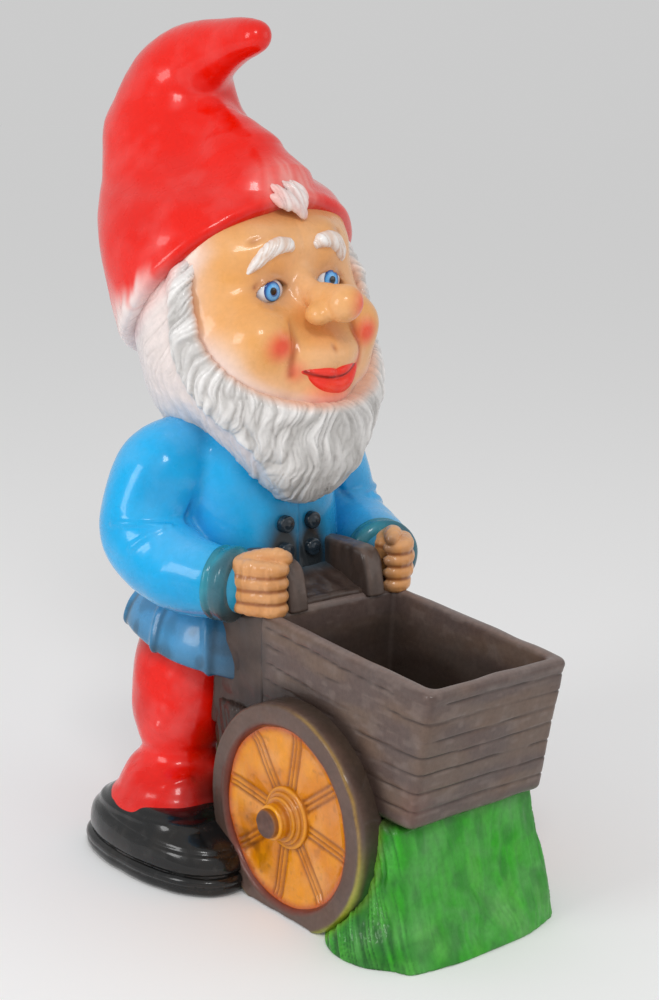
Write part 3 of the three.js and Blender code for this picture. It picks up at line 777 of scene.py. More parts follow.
LOWER_LIP = ((0, 4.5, 401.5, 7.8), (9, 5.5, 403.5, 6.8), (17, 7.5, 408, 4.6), (24, 10, 413.5, 2.2))
UPPER_LIP = ((0, 2.5, 411.5, 4.0), (8, 3, 413, 4.4), (18, 6.5, 414.5, 3.2), (28, 11.5, 416.5, 1.2))


def lips_field(p):
    lower = limb(mouth_sides(p, 4), curve(LOWER_LIP, 3), 2)
    upper = limb(mouth_sides(p, 0.5), curve(UPPER_LIP, 3), 2)
    return join(lower, upper, 1.2)


def lips_paint(p, n):
    m = mouth_sides(p, 1)
    line = trace(m, ((0, -2, 409), (8, -1, 410), (17, 2.5, 412.4), (26, 8, 416)), 1.4)
    colour = mix(LIPS, "ff6a4a", 0.35 * near(m, (6, 0, 401), 9))
    return mix(colour, "5a1008", line * 0.9)


lips_shape = sculpt(lips_field, (-38, -12, 384), (42, 30, 430), 1.6)
piece("mouth", lips_shape, lips_paint, "skin", ["lips"])

TUFT = (
    ((-19, 61, 556, 1.6), (-13, 56, 550, 3.3), (-5, 52.5, 542, 4.4), (3, 51, 535, 3.8), (8, 52, 529, 1.8)),
    ((-8, 61, 558, 1.6), (-2, 56, 551, 3.3), (5, 53, 543, 4.0), (9, 54, 535, 2.2)),
    ((-21, 58, 548, 1.6), (-14, 55, 543, 3.1), (-7, 54, 537, 2.2)),
    ((0, 62, 558, 1.4), (6, 57, 551, 2.7), (11, 55, 544, 2.4)),
)


def tuft_field(p):
    q = upright(p)
    body = limb(q, curve(TUFT[0], 3), 3)
    for lock in TUFT[1:]:
        body = join(body, limb(q, curve(lock, 3), 3), 1.5)
    return body


def tuft_comb(p):
    q = upright(p)
    return strands(q[:, 0] + (q[:, 2] - 540) * 0.35, q[:, 2], 3.2, 26, 9)


def tuft_paint(p, n):
    # painted shade in the grooves between the strands
    colour = mix(WHITE, "d8a39a", (1 - tuft_comb(p)) * 0.7)
    side = fade(np.abs(upright(p)[:, 0] + 3), 6, 16)
    return mix(colour, PINK, side * 0.8)


def tuft_relief(p, n):
    return (tuft_comb(p) - 0.7) * 1.2


tuft_shape = sculpt(tuft_field, (-32, 34, 514), (26, 76, 574), 1.7)
piece("forelock_tuft", carved(tuft_shape, tuft_relief), tuft_paint, "hair", ["forelock"])

# ---------- Hair and beard ----------
BEARD = (
    (299, 0, 43, 10, 10),
    (306, 0, 40, 24, 20),
    (318, 0, 39, 38, 34),
    (332, 0, 41, 50, 47),
    (347, 0, 46, 61, 57),
    (366, 0, 59, 75, 70),
    (388, 0, 74, 89, 86),
    (408, 0, 90, 96, 94),
    (432, 0, 106, 98, 97),
    (462, 0, 120, 98, 98),
    (492, 0, 133, 98, 95),
    (515, 0, 142, 96, 90),
)
NAPE = (
    (350, 0, 122, 62, 55),
    (372, 0, 118, 77, 70),
    (395, 0, 113, 89, 84),
    (420, 0, 112, 95, 92),
    (440, 0, 118, 96, 92),
)
ROPE = ((80, 94, 492, 12), (83, 84, 468, 15), (82, 78, 446, 17), (77, 68, 425, 19), (68, 54, 405, 21),
        (54, 40, 388, 23), (34, 30, 375, 26), (0, 25, 367, 28))
STEP_EDGE = ((300, 22), (340, 24), (356, 29), (368, 39), (386, 57),
             (404, 72), (423, 85), (450, 90), (490, 87))


def rope_edge(q):
    """How far in front of the thick locks' back edge, where they step down to the layer behind them."""
    z, y = np.array(STEP_EDGE, float).T
    return np.interp(q[:, 2], z, y) - q[:, 1]


def mane_field(p):
    q = upright(p)
    m = mirrored(q)
    under = join(tower(q, BEARD, 2, 5), tower(q, NAPE, 2, 8), 8)
    behind_rope = (1 - fade(rope_edge(q), -4, 4)) * fade(q[:, 1], 16, 36)
    mane = join(under + 3.5 * behind_rope, limb(m, curve(ROPE, 2), 4), 6)
    hole = np.maximum((face_window(q) - 1) * 72, q[:, 1] - 100)
    mane = cut(mane, hole, 12)
    return meet(mane, brim(q) - 3, 6)


def mane_comb(q):
    """Locks, strands and hairs on the mane, each 0 in its grooves."""
    x, y, z = q.T
    m = mirrored(q)
    side = np.where(x < 0, 0.0, 5.0)
    around = np.arctan2(m[:, 0], 112 - y) * 84
    slant = 0.8 * 14 * np.log1p(np.exp((z - 410) / 14))
    warp = uneven(q, 26, 15) + uneven(q, 9, 2.5)
    across = around + slant + warp
    along = z + m[:, 0] * 0.3
    return (
        strands(across, along, 4.6, 34, side),
        strands(across + 1.2 * np.sin(z / 6), along, 2.3, 20, side + 1),
        strands(across, along, 1.3, 12, side + 2),
    )


def thick_part(q):
    """1 on the thick front locks, lower on the smoother layer behind them."""
    return np.clip(fade(rope_edge(q), -4, 2) + (1 - fade(q[:, 2], 318, 350)) * 0.6, 0, 1)


def mane_relief(p, n):
    q = upright(p)
    locks, fine, hairs = mane_comb(q)
    thick = thick_part(q)
    calm = 0.5 + 0.5 * thick
    edge = 1 - fade(face_window(q), 1.0, 1.1)
    swirl = uneven(q, 16, 1.6) * thick
    strand = (locks - 0.7) * 2.5 * calm + (fine - 0.7) * 1.5 * (0.4 + 0.6 * thick) + (hairs - 0.7) * 0.5
    return strand * (1 - 0.5 * edge) + swirl


def mane_paint(p, n):
    q = upright(p)
    x, y, z = q.T
    locks, fine, hairs = mane_comb(q)
    thick = thick_part(q)
    groove = 1 - locks * (0.45 + 0.55 * fine) * (0.8 + 0.2 * hairs)
    colour = mix(ROSE_WHITE, WHITE, 0.3 + 0.7 * thick)
    # painted shade in the grooves between the locks and strands, deeper on the thick locks
    colour = mix(colour, GREY, groove * (0.2 + 0.42 * thick))
    front = 1 - fade(np.abs(x), 30, 80)
    in_front = 1 - fade(y, 72, 88)
    colour = mix(colour, "c4c1bd", 0.3 * front * fade(-z, -390, -330))
    colour = mix(colour, "e9b597", (1 - fade(face_window(q), 0.98, 1.13)) * 0.8 * in_front)
    colour = mix(colour, PINK, 0.45 * (1 - fade(-brim(q), 0, 16)) * (1 - thick * 0.7))
    blue_haze = (1 - thick) * fade(y, 110, 190) * 0.35
    return mix(colour, "a9c6dd", blue_haze)


mane_shape = sculpt(mane_field, (-112, -32, 288), (112, 222, 540), 2.3)
piece("beard_and_hair", carved(mane_shape, mane_relief), mane_paint, "hair", ["beard", "hair"])

# ---------- Jacket ----------
TORSO = (
    (214, 0, 111, 80, 76),
    (243, 0, 110, 78, 72),
    (268, 0, 108, 76, 68.5),
    (298, 0, 110, 77, 67),
    (325, 0, 114, 78, 64),
    (345, 0, 117, 73, 60),
    (362, 0, 119, 60, 52),
    (376, 0, 120, 48, 44),
)
SLEEVE = ((62, 114, 338, 30), (82, 115, 324, 36.5), (96, 117, 299, 36.5), (101, 112, 274, 36.5),
          (100, 92, 258, 34.5), (97, 66, 249.5, 31.5), (90, 46, 247.5, 29), (84, 32, 247, 27))
SHOULDER_SEAM = ((-64, 108, 352), (-72, 94, 334), (-79, 84, 316), (-81, 84, 296), (-88, 76, 284))
ELBOW_FOLDS = (
    ((-138, 108, 287), (-130, 92, 289), (-116, 79, 288), (-106, 73, 287)),
    ((-135, 88, 270), (-127, 79, 280), (-113, 74, 285)),
    ((-134, 112, 262), (-132, 92, 258), (-124, 76, 258)),
)


def jacket_field(p):
    m = mirrored(p)
    return join(tower(p, TORSO, 2.1, 8), limb(m, curve(SLEEVE, 3), 3), 5)


def jacket_lines(p):
    m = mirrored(p)
    crease = 2.0 * trace(m, both(SHOULDER_SEAM), 3.0)
    opening = bell(p[:, 0] - 1.5, 1.1) * (1 - fade(p[:, 1], 60, 80)) * fade(p[:, 2], 212, 225)
    return crease + 0.9 * opening


def jacket_relief(p, n):
    m = mirrored(p)
    folds = 2.2 * trace(m, both(ELBOW_FOLDS[0]), 2.4) + 2.0 * trace(m, both(ELBOW_FOLDS[1]), 2.6)
    folds -= 1.2 * trace(m, both(ELBOW_FOLDS[2]), 4.0)
    lapel = 0.9 * fade(p[:, 0] + 0.32 * (p[:, 2] - 240), 9, 11) * (1 - fade(p[:, 1], 56, 74))
    return folds - jacket_lines(p) + lapel + uneven(p, 34, 2.4) + uneven(p, 12, 0.4)


def jacket_paint(p, n):
    m = mirrored(p)
    colour = mix(BLUE, BLUE_DEEP, 0.3 * fade(noise(p, 40), 0.4, 0.8))
    # painted shade in the shoulder creases and the front opening
    colour = mix(colour, BLUE_DEEP, np.clip(jacket_lines(p), 0, 1.4) * 0.5)
    # painted light: faces that look up are lighter
    colour = mix(colour, "55bdf8", 0.5 * fade(n[:, 2], 0.3, 1.0))
    colour = mix(colour, TEAL, near(m, (82, 22, 247), 44) * 0.8)
    # painted shade round the cuffs and hands and where the jacket meets the tub's rear panel, and dark
    # overspray round the buttons
    darkening = near(m, (62, 30, 246), 46, (1.1, 1.3, 1)) * 0.75 + 0.95 * near(p, (0, 44, 230), 50, (1.9, 1, 1))
    darkening += 1.1 * near(m, (14, 40, 268), 33, (0.9, 1, 1.2))
    colour = mix(colour, "2c3236", darkening)
    # painted shade at the waist, where the jacket meets its flare
    colour = mix(colour, "235f8c", 0.7 * (1 - fade(p[:, 2], 212, 232)))
    # painted shade under the beard
    under_beard = near(p, (0, 46, 318), 52, (1.5, 1, 0.6)) * 0.35
    return mix(colour, BLUE_DEEP, under_beard)


jacket_shape = sculpt(jacket_field, (-152, 5, 205), (152, 195, 386), 3.2)
piece(
    "jacket_shell", carved(jacket_shape, jacket_relief), jacket_paint, "jacket",
    ["jacket_body", "sleeve_right", "sleeve_left"],
)

SKIRT = (
    (148, 0, 109, 102, 101),
    (165, 0, 109.5, 102, 101),
    (184, 0, 110, 100, 99),
    (200, 0, 111, 95, 93),
    (212, 0, 111, 88, 85),
    (222, 0, 112, 81, 78),
    (230, 0, 112, 76, 72),
)
PLEATS = (-2.6, -2.08, -1.53, -0.98)  # radians from the front, where each fold's ridge runs
SKIRT_R = 94


def hem(p):
    """Height above the hem, which rises to the back."""
    return (p[:, 2] - 157 - 0.17 * np.maximum(p[:, 1], 0)) * 0.98


def skirt_field(p):
    body = tower(p, SKIRT, 2.25, 5)
    return meet(body, -hem(p), 6)


def pleat_ridges(p):
    x, y, z = p.T
    turn = -np.arctan2(np.abs(x), 110 - y)
    total = np.zeros(len(p))
    for at in PLEATS:
        total += bell((turn - at) * SKIRT_R + (z - 195) * 0.12, 3.2) * (1 - fade(z, 204, 216))
    return total


def skirt_relief(p, n):
    turn = np.arctan2(p[:, 0], 110 - p[:, 1])
    sway = np.sin(turn * 9 + 1.0) * 0.5 * (1 - fade(p[:, 2], 195, 222))
    return 2.4 * pleat_ridges(p) + sway + uneven(p, 26, 1.2)


def skirt_paint(p, n):
    colour = mix("4a9cd0", STEEL, 0.5 * noise(p, 24))
    low = 1 - fade(hem(p), 0, 20)
    colour = mix(colour, "2b4658", low * 0.5 + 0.3 * fade(noise(p, 11), 0.55, 0.8))
    turn = -np.arctan2(np.abs(p[:, 0]), 110 - p[:, 1])
    # painted shade on one side of each pleat's ridge
    side = sum(bell((turn - at) * SKIRT_R - 6, 3.5) for at in PLEATS)
    colour = mix(colour, "14303f", side * 0.55)
    colour = mix(colour, "2b2522", 0.85 * near(mirrored(p), (66, 24, 190), 60, (1, 1, 1.2)))
    # painted shade at the top, where the flare goes in under the jacket
    return mix(colour, "1d5c88", 0.6 * fade(p[:, 2], 208, 220))


skirt_shape = sculpt(skirt_field, (-110, 2, 142), (110, 218, 240), 2.8)
flare_shape = carved(skirt_shape, skirt_relief)
piece("jacket_flare", flare_shape, skirt_paint, "jacket", ["jacket_skirt"])

# ---------- Buttons ----------
def button_field(p):
    dome = ball(p, (0, 0, 0), (7.4, 5.6, 7.4))
    ring = np.hypot(np.hypot(p[:, 0], p[:, 2]) - 5.6, p[:, 1] + 3.0) - 1.5
    return join(dome, ring, 1.5)


button_shape = sculpt(button_field, (-11, -9, -11), (11, 9, 11), 1.0)
for row, (name, _) in product(("bottom", "top"), SIDES):
    node = f"button_{row}_{name}"
    verts, normals, quads = button_shape
    at = spot(node) + (0, 1.5, 0)
    paint = lambda p, n: mix("15202a", "3a4a55", 0.5 * noise(p, 4))
    piece(f"dome_{node}", (verts + at, normals, quads), paint, "shoe", [node])


# ---------- Cuffs and hands ----------
def cuff_field(p):
    body = limb(p, ((90, 44, 247, 29.5), (83, 30, 247, 29.5), (79, 18, 247.5, 27.5)), 3)
    body = meet(body, plane(p, (86, 36, 247), (0.38, 0.92, 0.02)), 3)
    return meet(body, plane(p, (78, 17, 247), (-0.38, -0.92, 0)), 6)


def cuff_relief(p, n):
    along = plane(p, (78, 17, 247), (0.38, 0.92, 0))
    return 1.6 * bell(along - 6, 3.6) - 1.2 * bell(along - 14, 1.6) + uneven(p, 9, 0.6)


def cuff_paint(p, n):
    colour = mix(TEAL, "1f6f86", noise(p, 10))
    # painted shade on the cuff's lower half, and darker on its inner side towards the body
    colour = mix(colour, "3a3a36", 0.8 * fade(-p[:, 2], -246, -222) + 0.5 * (1 - fade(p[:, 0], 52, 74)))
    return mix(colour, BROWN_DARK, 0.5 * (1 - fade(p[:, 1], 14, 24)))


FINGER_Z = (265.5, 254.8, 244.2, 233.8)


def hand_field(p):
    body = ball(p, (77, 14, 249), (14, 20, 23))
    for i, z in enumerate(FINGER_Z):
        out = (0, 1.5, 1.0, -1.5)[i]
        knuckles = ((84, 16, z, 6.0), (82 + out, 1, z, 6.6), (72 + out, -11.5, z - 1, 6.4),
                    (63, -13.5, z - 2, 5.9), (56, -9, z - 2, 4.6))
        body = join(body, limb(p, curve(knuckles, 2), 2), 3.2)
    thumb = ((80, 16, 264, 8), (72, 4, 271, 7.2), (62, -7, 273.5, 6.6), (55, -12, 272, 5))
    return join(body, limb(p, curve(thumb, 2), 2), 2)


def hand_relief(p, n):
    wrinkles = strands(p[:, 1] * 1.2 + p[:, 0] * 0.3, p[:, 2], 4.5, 9, 3)
    return (wrinkles - 0.7) * 0.5 + uneven(p, 8, 0.6)


def hand_paint(p, n):
    between = np.min([np.abs(p[:, 2] - (a + b) / 2 + 0.8) for a, b in zip(FINGER_Z, FINGER_Z[1:])], 0)
    colour = mix("dfa066", "c07f4a", 0.5 * noise(p, 9))
    # painted shade between the fingers
    colour = mix(colour, "8a4a26", (1 - fade(between, 0.4, 2.6)) * 0.75)
    colour = mix(colour, "5a463c", 0.7 * (1 - fade(p[:, 0], 50, 60)) + 0.6 * fade(p[:, 1], 16, 30))
    # painted light: faces that look up are lighter
    return mix(colour, "e8b585", 0.4 * fade(n[:, 2], 0.2, 0.9))


cuff_shape = carved(sculpt(cuff_field, (42, -8, 208), (124, 60, 286), 2.2), cuff_relief)
hand_shape = carved(sculpt(hand_field, (38, -26, 218), (104, 42, 286), 1.7), hand_relief)
paired(
    ("cuff_ring", cuff_shape, cuff_paint, "jacket", "cuff_teal", "cuff"),
    ("fist", hand_shape, hand_paint, "skin", "skin", "hand"),
)

# ---------- Legs, shoes and soles ----------
def polar(p):
    """Distance from the axle, and distance out from the wheel's face."""
    return np.hypot(p[:, 1] - WHEEL[1], p[:, 2] - WHEEL[2]), p[:, 0] - WHEEL_FACE


LEG = (
    (30, 87, 96, 48, 50),
    (42, 88, 96, 51, 53),
    (51, 87, 97, 50, 52),
    (58, 85, 98, 45, 47),
    (65, 82, 99, 43, 45),
    (74, 78, 101, 39, 41),
    (81, 75, 103, 33, 34),
    (88, 73, 104, 31, 32),
    (98, 70, 107, 35, 37),
    (115, 66, 110, 41, 44),
    (133, 60, 113, 44, 47),
    (158, 53, 115, 45, 49),
    (180, 49, 114, 42, 50),
    (200, 47, 114, 38, 48),
)
LEG_FOLDS = (
    (((112, 112, 82), (106, 86, 88), (92, 70, 90), (76, 64, 94)), 2.2, 3.4),
    (((118, 92, 62), (108, 72, 68), (92, 62, 74)), 2.0, 3.2),
    (((92, 62, 52), (104, 72, 50), (116, 88, 50)), 1.8, 3.0),
    (((104, 92, 112), (98, 76, 104), (84, 66, 100)), 1.4, 4.0),
)


def leg_field(p):
    return tower(p, LEG, 2, 4)


def leg_relief(p, n):
    total = uneven(p, 26, 3.0) + uneven(p, 9, 0.5)
    for line, depth, width in LEG_FOLDS:
        total += depth * trace(p, line, width)
    return total


def leg_paint(p, n):
    colour = mix("ee1c10", RED_DEEP, 0.5 * fade(noise(p, 30), 0.4, 0.8))
    # painted shade on faces that look down, and at the top under the jacket's flare
    colour = mix(colour, "8f0a08", 0.6 * fade(-n[:, 2], 0.1, 0.7) + 0.5 * fade(p[:, 2], 158, 176))
    # painted shade where the leg's front faces the wheel, and darker towards the bottom of the trousers
    darkening = 0.9 * near(p, (78, 42, 80), 58, (0.8, 0.7, 1.6)) + 0.8 * (1 - fade(p[:, 2], 36, 50))
    return mix(colour, "38140e", darkening)


SHOE_X, SHOE_Y = spot("sole_left")[:2]


def shoe_local(p):
    """Points in the shoe's own axes: its toe is turned slightly out."""
    a = radians(-3)
    x, y = p[:, 0] - SHOE_X, p[:, 1] - SHOE_Y
    return np.stack([x * cos(a) + y * sin(a), y * cos(a) - x * sin(a), p[:, 2]], 1)


SOLE_ROWS = ((0, 0, 0, 45, 84), (2, 0, 0, 47, 86), (7, 0, 0, 48.6, 87.6),
             (14, 0, 0, 48.6, 87.6), (17, 0, 0, 47, 86))
UPPER_ROWS = ((12, 0, 0, 45.5, 84.5), (20, 0, 0, 46.5, 85.5), (28, 0, 1, 46, 84.5), (36, 0, 3, 43.5, 80),
              (43, -1, 6, 39.5, 70), (50, -2, 10, 36.5, 58), (55, -3, 12, 35, 52))


def sole_field(p):
    return tower(shoe_local(p), SOLE_ROWS, 2.35, 4)


def upper_field(p):
    return tower(shoe_local(p), UPPER_ROWS, 2.25, 7)


def sole_relief(p, n):
    return -1.4 * bell(p[:, 2] - 9.0, 1.0) + uneven(p, 16, 0.8)


def upper_relief(p, n):
    q = shoe_local(p)
    rim = 1.5 * bell(p[:, 2] - 47 + 0.03 * q[:, 1], 2.6)
    welt = -1.6 * bell(p[:, 2] - 17.5, 1.3)
    vamp = -1.1 * bell(p[:, 2] - 38 - 0.05 * q[:, 1], 1.5) * (1 - fade(q[:, 1], 20, 50))
    return rim + welt + vamp + uneven(p, 22, 1.8)


def shoe_paint(p, n):
    colour = mix(BLACK, "24211e", 0.5 * fade(noise(p, 20), 0.45, 0.8))
    return mix(colour, "302e2c", 0.4 * fade(noise(p, 5), 0.62, 0.9))


leg_shape = carved(sculpt(leg_field, (0, 44, 24), (132, 176, 208), 2.8), leg_relief)
shoe_low, shoe_high = (40, -14, -4), (160, 182, 64)


def clear_of_wheel(p):
    """Distance outside the room that the wheel takes."""
    barrel = polar(p)[0] - TYRE_R + 2
    faces = np.abs(p[:, 0] - (WHEEL_ROOM + WHEEL_FACE) / 2) - (WHEEL_FACE - WHEEL_ROOM) / 2 + 1
    return np.maximum(barrel, faces)


def wheel_cut(field, step):
    """Part of a shoe, with the wheel's room taken out."""
    return sculpt(lambda p: cut(field(p), clear_of_wheel(p), 2), shoe_low, shoe_high, step)


sole_shape = carved(wheel_cut(sole_field, 2.4), sole_relief)
upper_shape = carved(wheel_cut(upper_field, 2.6), upper_relief)
paired(
    ("trousers", leg_shape, leg_paint, "trousers", "trouser_red", "trouser_leg"),
    ("shoe_upper", upper_shape, shoe_paint, "shoe", "shoe_black", "shoe"),
    ("shoe_sole", sole_shape, shoe_paint, "shoe", "shoe_black", "sole"),
)

# ---------- Tub, handles and the panel behind the tub ----------
RIM_W = 10.5  # the thickness of the tub's walls
TUB_LENGTH = 196
TUB_MID = TUB_LENGTH / 2
TUB_DEPTH = 112  # from the rim to the bottom at the front
RIM_RISE = 14  # of the rim, from the front to the back
FRONT_LEAN = 18 / TUB_DEPTH  # of the front wall, which slopes out to the rim
PLANK = 14.6


def tub_faces(p):
    """Distances outside the tub's side, front, back, top and bottom faces."""
    x, y, z = np.abs(p[:, 0]), p[:, 1], p[:, 2]
    bow = 1.5 * (1 - ((y + TUB_MID) / TUB_MID) ** 2)
    side = x - (TUB_HALF - 1.2) - bow + 0.02 * (rim_height(p) - z)
    front = (TUB_FRONT + 0.8 + FRONT_LEAN * (rim_height(p) - z) - y) * 0.987
    return side, front, y + 0.8, z - rim_height(p), TUB_LOW + 0.6 - z


def rim_height(p):
    """Height of the tub's rim, rising to the back."""
    return TUB_TOP - 0.6 + p[:, 1] * RIM_RISE / TUB_LENGTH


def tub_field(p):
    side, front, back, top, bottom = tub_faces(p)
    outer = meet(meet(side, front, 7), back, 3)
    outer = meet(meet(outer, top, 6), bottom, 5)
    z = p[:, 2]
    walls = meet(meet(side + RIM_W, front + RIM_W - 1, 9), back + RIM_W, 4)
    narrow = 0.06 * np.maximum(rim_height(p) - z, 0)
    cavity = meet(walls + narrow, TUB_LOW + 9 - z, 6)
    return cut(outer, cavity, 5)


def plank_lines(p):
    """1 in the grooves between the planks, which follow the rim's fall and waver a little."""
    down = rim_height(p) - p[:, 2]
    waver = uneven(p, (60, 60, 14), 3.6) + uneven(p, (14, 14, 14), 1.0)
    sag = 10 * ((p[:, 1] + TUB_MID) / TUB_MID) ** 2 * np.clip(down / TUB_DEPTH, 0, 1)
    row = (down + waver + sag * 0.5 - 12) / PLANK
    groove = bell((row - np.round(row)) * PLANK, 0.7) * (np.round(row) >= 0)
    broken = fade(noise(p, (34, 34, 5)), 0.26, 0.4)
    return groove * (0.15 + 0.85 * broken)


def tub_outside(p):
    side, front, back, _, _ = tub_faces(p)
    return fade(np.maximum(side, front), -4, -1.5) * (1 - fade(back, -12, -2))


def wheel_shadow(p):
    """1 close above the wheel, where the wheel's painted shadow falls and the sprayed dark brown gathers."""
    r, _ = polar(p)
    return (1 - fade(r, TYRE_R + 2, TYRE_R + 20)) * fade(np.abs(p[:, 0]), 40, 66)


def tub_relief(p, n):
    grooves = plank_lines(p) * tub_outside(p)
    wood = uneven(p, (30, 30, 8), 0.4) + uneven(p, 24, 1.2)
    lip = 0.9 * bell(rim_height(p) - p[:, 2] - 5, 4.0) * tub_outside(p)
    return wood + lip - 1.2 * grooves


def tub_paint(p, n):
    colour = mix(BROWN, "5d4d48", fade(noise(p, (40, 40, 12)), 0.3, 0.7))
    colour = mix(colour, "7c6c65", 0.4 * fade(noise(p, (9, 9, 4)), 0.55, 0.85))
    # painted shade inside the tub, below the rim
    inside = fade(rim_height(p) - p[:, 2], 6, 34) * (1 - tub_outside(p))
    inside *= fade(p[:, 2], TUB_LOW + 2, TUB_LOW + 8)
    colour = mix(colour, "3f342f", inside * 0.85)
    colour = mix(colour, BROWN_DARK, plank_lines(p) * tub_outside(p) * 0.95)
    # painted light: faces that look up are paler
    colour = mix(colour, BROWN_PALE, 0.55 * fade(n[:, 2], 0.4, 0.9))
    colour = mix(colour, "2e221e", wheel_shadow(p) * 0.9)
    colour = mix(colour, "8a4a34", 0.2 * near(p, (-66, -180, 122), 26))
    return mix(colour, GREEN_DEEP, 0.35 * (1 - fade(p[:, 2], TUB_LOW, TUB_LOW + 8)))


tub_shape = sculpt(tub_field, (-84, -206, 96), (84, 8, 240), 2.7)
piece("planter_tub", carved(tub_shape, tub_relief), tub_paint, "cart", ["cart_tub"])

HANDLE_X = spot("handle_left")[0]
HANDLE_HALF = half("handle_left")[0]
HANDLE_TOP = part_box("handle_left")[1].z * 1000
HANDLE_FRONT = (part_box("handle_left")[0].y - TUB_BACK) * 1000


def handle_field(p):
    x, y, z = p[:, 0] - HANDLE_X, p[:, 1], p[:, 2]
    flank = np.abs(x) - HANDLE_HALF + 0.5
    front = (HANDLE_FRONT + 0.8 + 0.24 * (z - 232) - y) * 0.97
    body = meet(meet(front, z - HANDLE_TOP + 0.5, 14), flank, 5)
    return meet(meet(body, y - 52, 3), 226 - z, 2)


def handle_paint(p, n):
    colour = mix("4e4039", "6b5a52", noise(p, (5, 5, 22)))
    # painted shade on the faces that look in towards the middle of the cart
    colour = mix(colour, "2b211d", 0.6 * fade(-n[:, 0], 0.3, 0.9))
    return mix(colour, "4a5a60", 0.4 * fade(p[:, 1], 30, 46))


def handle_relief(p, n):
    return uneven(p, (6, 6, 20), 1.2)


handle_shape = carved(sculpt(handle_field, (22, -22, 218), (60, 60, 274), 1.8), handle_relief)
paired(("handle_bar", handle_shape, handle_paint, "cart", "cart_dark", "handle"))

WEB_HALF = half("cart_rear_web")[0]


def web_field(p):
    deck = 233 + 0.3 * np.maximum(p[:, 1], 0)
    body = block(p, (-WEB_HALF - 1, -6, 120), (WEB_HALF + 1, 62, 260), 3)
    return meet(body, p[:, 2] - deck, 4)


def web_paint(p, n):
    colour = mix("3d2f2a", "57473f", noise(p, (8, 20, 12)))
    # painted shadow of the wheel, and painted shade low on the panel
    colour = mix(colour, "2a1f1c", 0.8 * wheel_shadow(p) + 0.5 * (1 - fade(p[:, 2], 150, 190)))
    return mix(colour, "4c6f80", 0.55 * fade(p[:, 1], 24, 44) * fade(p[:, 2], 205, 240))


def web_relief(p, n):
    return uneven(p, (10, 16, 16), 2.4) + uneven(p, 5, 0.5)


web_shape = carved(sculpt(web_field, (-80, -14, 112), (80, 70, 256), 2.8), web_relief)
piece("rear_panel", web_shape, web_paint, "cart", ["cart_rear_web"])

# ---------- Wheels ----------
SPOKES = 8
HUB_STEPS = ((25, 3.5), (21, 6.5), (18, 9.5), (14.5, 15))  # radius, and height above the disc
SPOKE_TURN = 0.14  # radians that the spokes are turned from level


def spoke_turn(p):
    """Signed distance across the nearest spoke, in millimetres."""
    r, _ = polar(p)
    a = np.arctan2(p[:, 2] - WHEEL[2], p[:, 1] - WHEEL[1]) - SPOKE_TURN
    step = 2 * pi / SPOKES
    return (a - np.round(a / step) * step) * r


def tyre_field(p):
    r, out = polar(p)
    ring = meet(meet(r - TYRE_R + 0.6, DISC_R - 0.6 - r, 3.5), out + 0.2, 5)
    body = meet(ring, -24 - out, 2)
    step = meet(meet(meet(r - TYRE_R + 5.5, DISC_R + 4 - r, 2), out + 9, 3), -28 - out, 2)
    return meet(join(body, step, 2), -p[:, 2] + 0.4, 1.5)


def tyre_relief(p, n):
    r, _ = polar(p)
    bead = 0.9 * bell(r - TYRE_R + 3.5, 1.3) + 0.7 * bell(r - DISC_R - 3, 1.6)
    return bead * fade(n[:, 0], 0.3, 0.8) + uneven(p, 11, 1.1)


def tyre_paint(p, n):
    _, y, z = p.T
    r, out = polar(p)
    colour = mix("6a544b", "57443c", noise(p, 14))
    colour = mix(colour, "4a3c33", 1 - fade(out, -14, -2))
    colour = mix(colour, RUST, 0.75 * (1 - fade(r, DISC_R - 1, DISC_R + 5)))
    line = bell(r - TYRE_R + 2.2, 0.8) * fade(out, -7, -1)
    side = fade(-y - z * 0.2, -10, 60)
    colour = mix(colour, "b08a3a", line * 0.6 * fade(noise(p, 20), 0.2, 0.6) * (0.1 + 0.9 * side))
    low = (1 - fade(z, 40, 100)) * side * fade(r, TYRE_R - 5, TYRE_R - 1)
    colour = mix(colour, LIME, low * 0.6 * fade(out, -9, -1))
    colour = mix(colour, GREEN_DEEP, low * (1 - fade(out, -12, -5)) * 0.85)
    # painted shade on the back of the tyre, low down beside the shoe
    return mix(colour, "1c1613", 0.75 * fade(y, 0, 34) * (1 - fade(z, 60, 120)))


def disc_field(p):
    r, out = polar(p)
    dish = -6.5 + 2.0 * fade(r, DISC_R - 10, DISC_R)
    swell = 1.2 * np.clip(np.abs(spoke_turn(p)) / np.maximum(r, 8) * 2.5, 0, 1)
    plate = meet(out - dish - swell, r - DISC_R - 1, 2)
    return meet(meet(plate, -20 - out, 1), 2 - p[:, 2], 1)


def disc_lines(p):
    """1 on the two thin ridges of each spoke, and 1 in the creases along them."""
    across = np.abs(spoke_turn(p))
    r, _ = polar(p)
    here = fade(r, 24, 27) * (1 - fade(r, DISC_R - 4, DISC_R - 1))
    ridge = bell(across - 1.9, 1.15) * here
    crease = (bell(across, 1.0) + bell(across - 4.6, 1.5)) * here
    return ridge, crease


def disc_relief(p, n):
    ridge, crease = disc_lines(p)
    return (1.2 * ridge - 0.7 * crease) * fade(n[:, 0], 0.5, 0.9) + uneven(p, 22, 1.0)


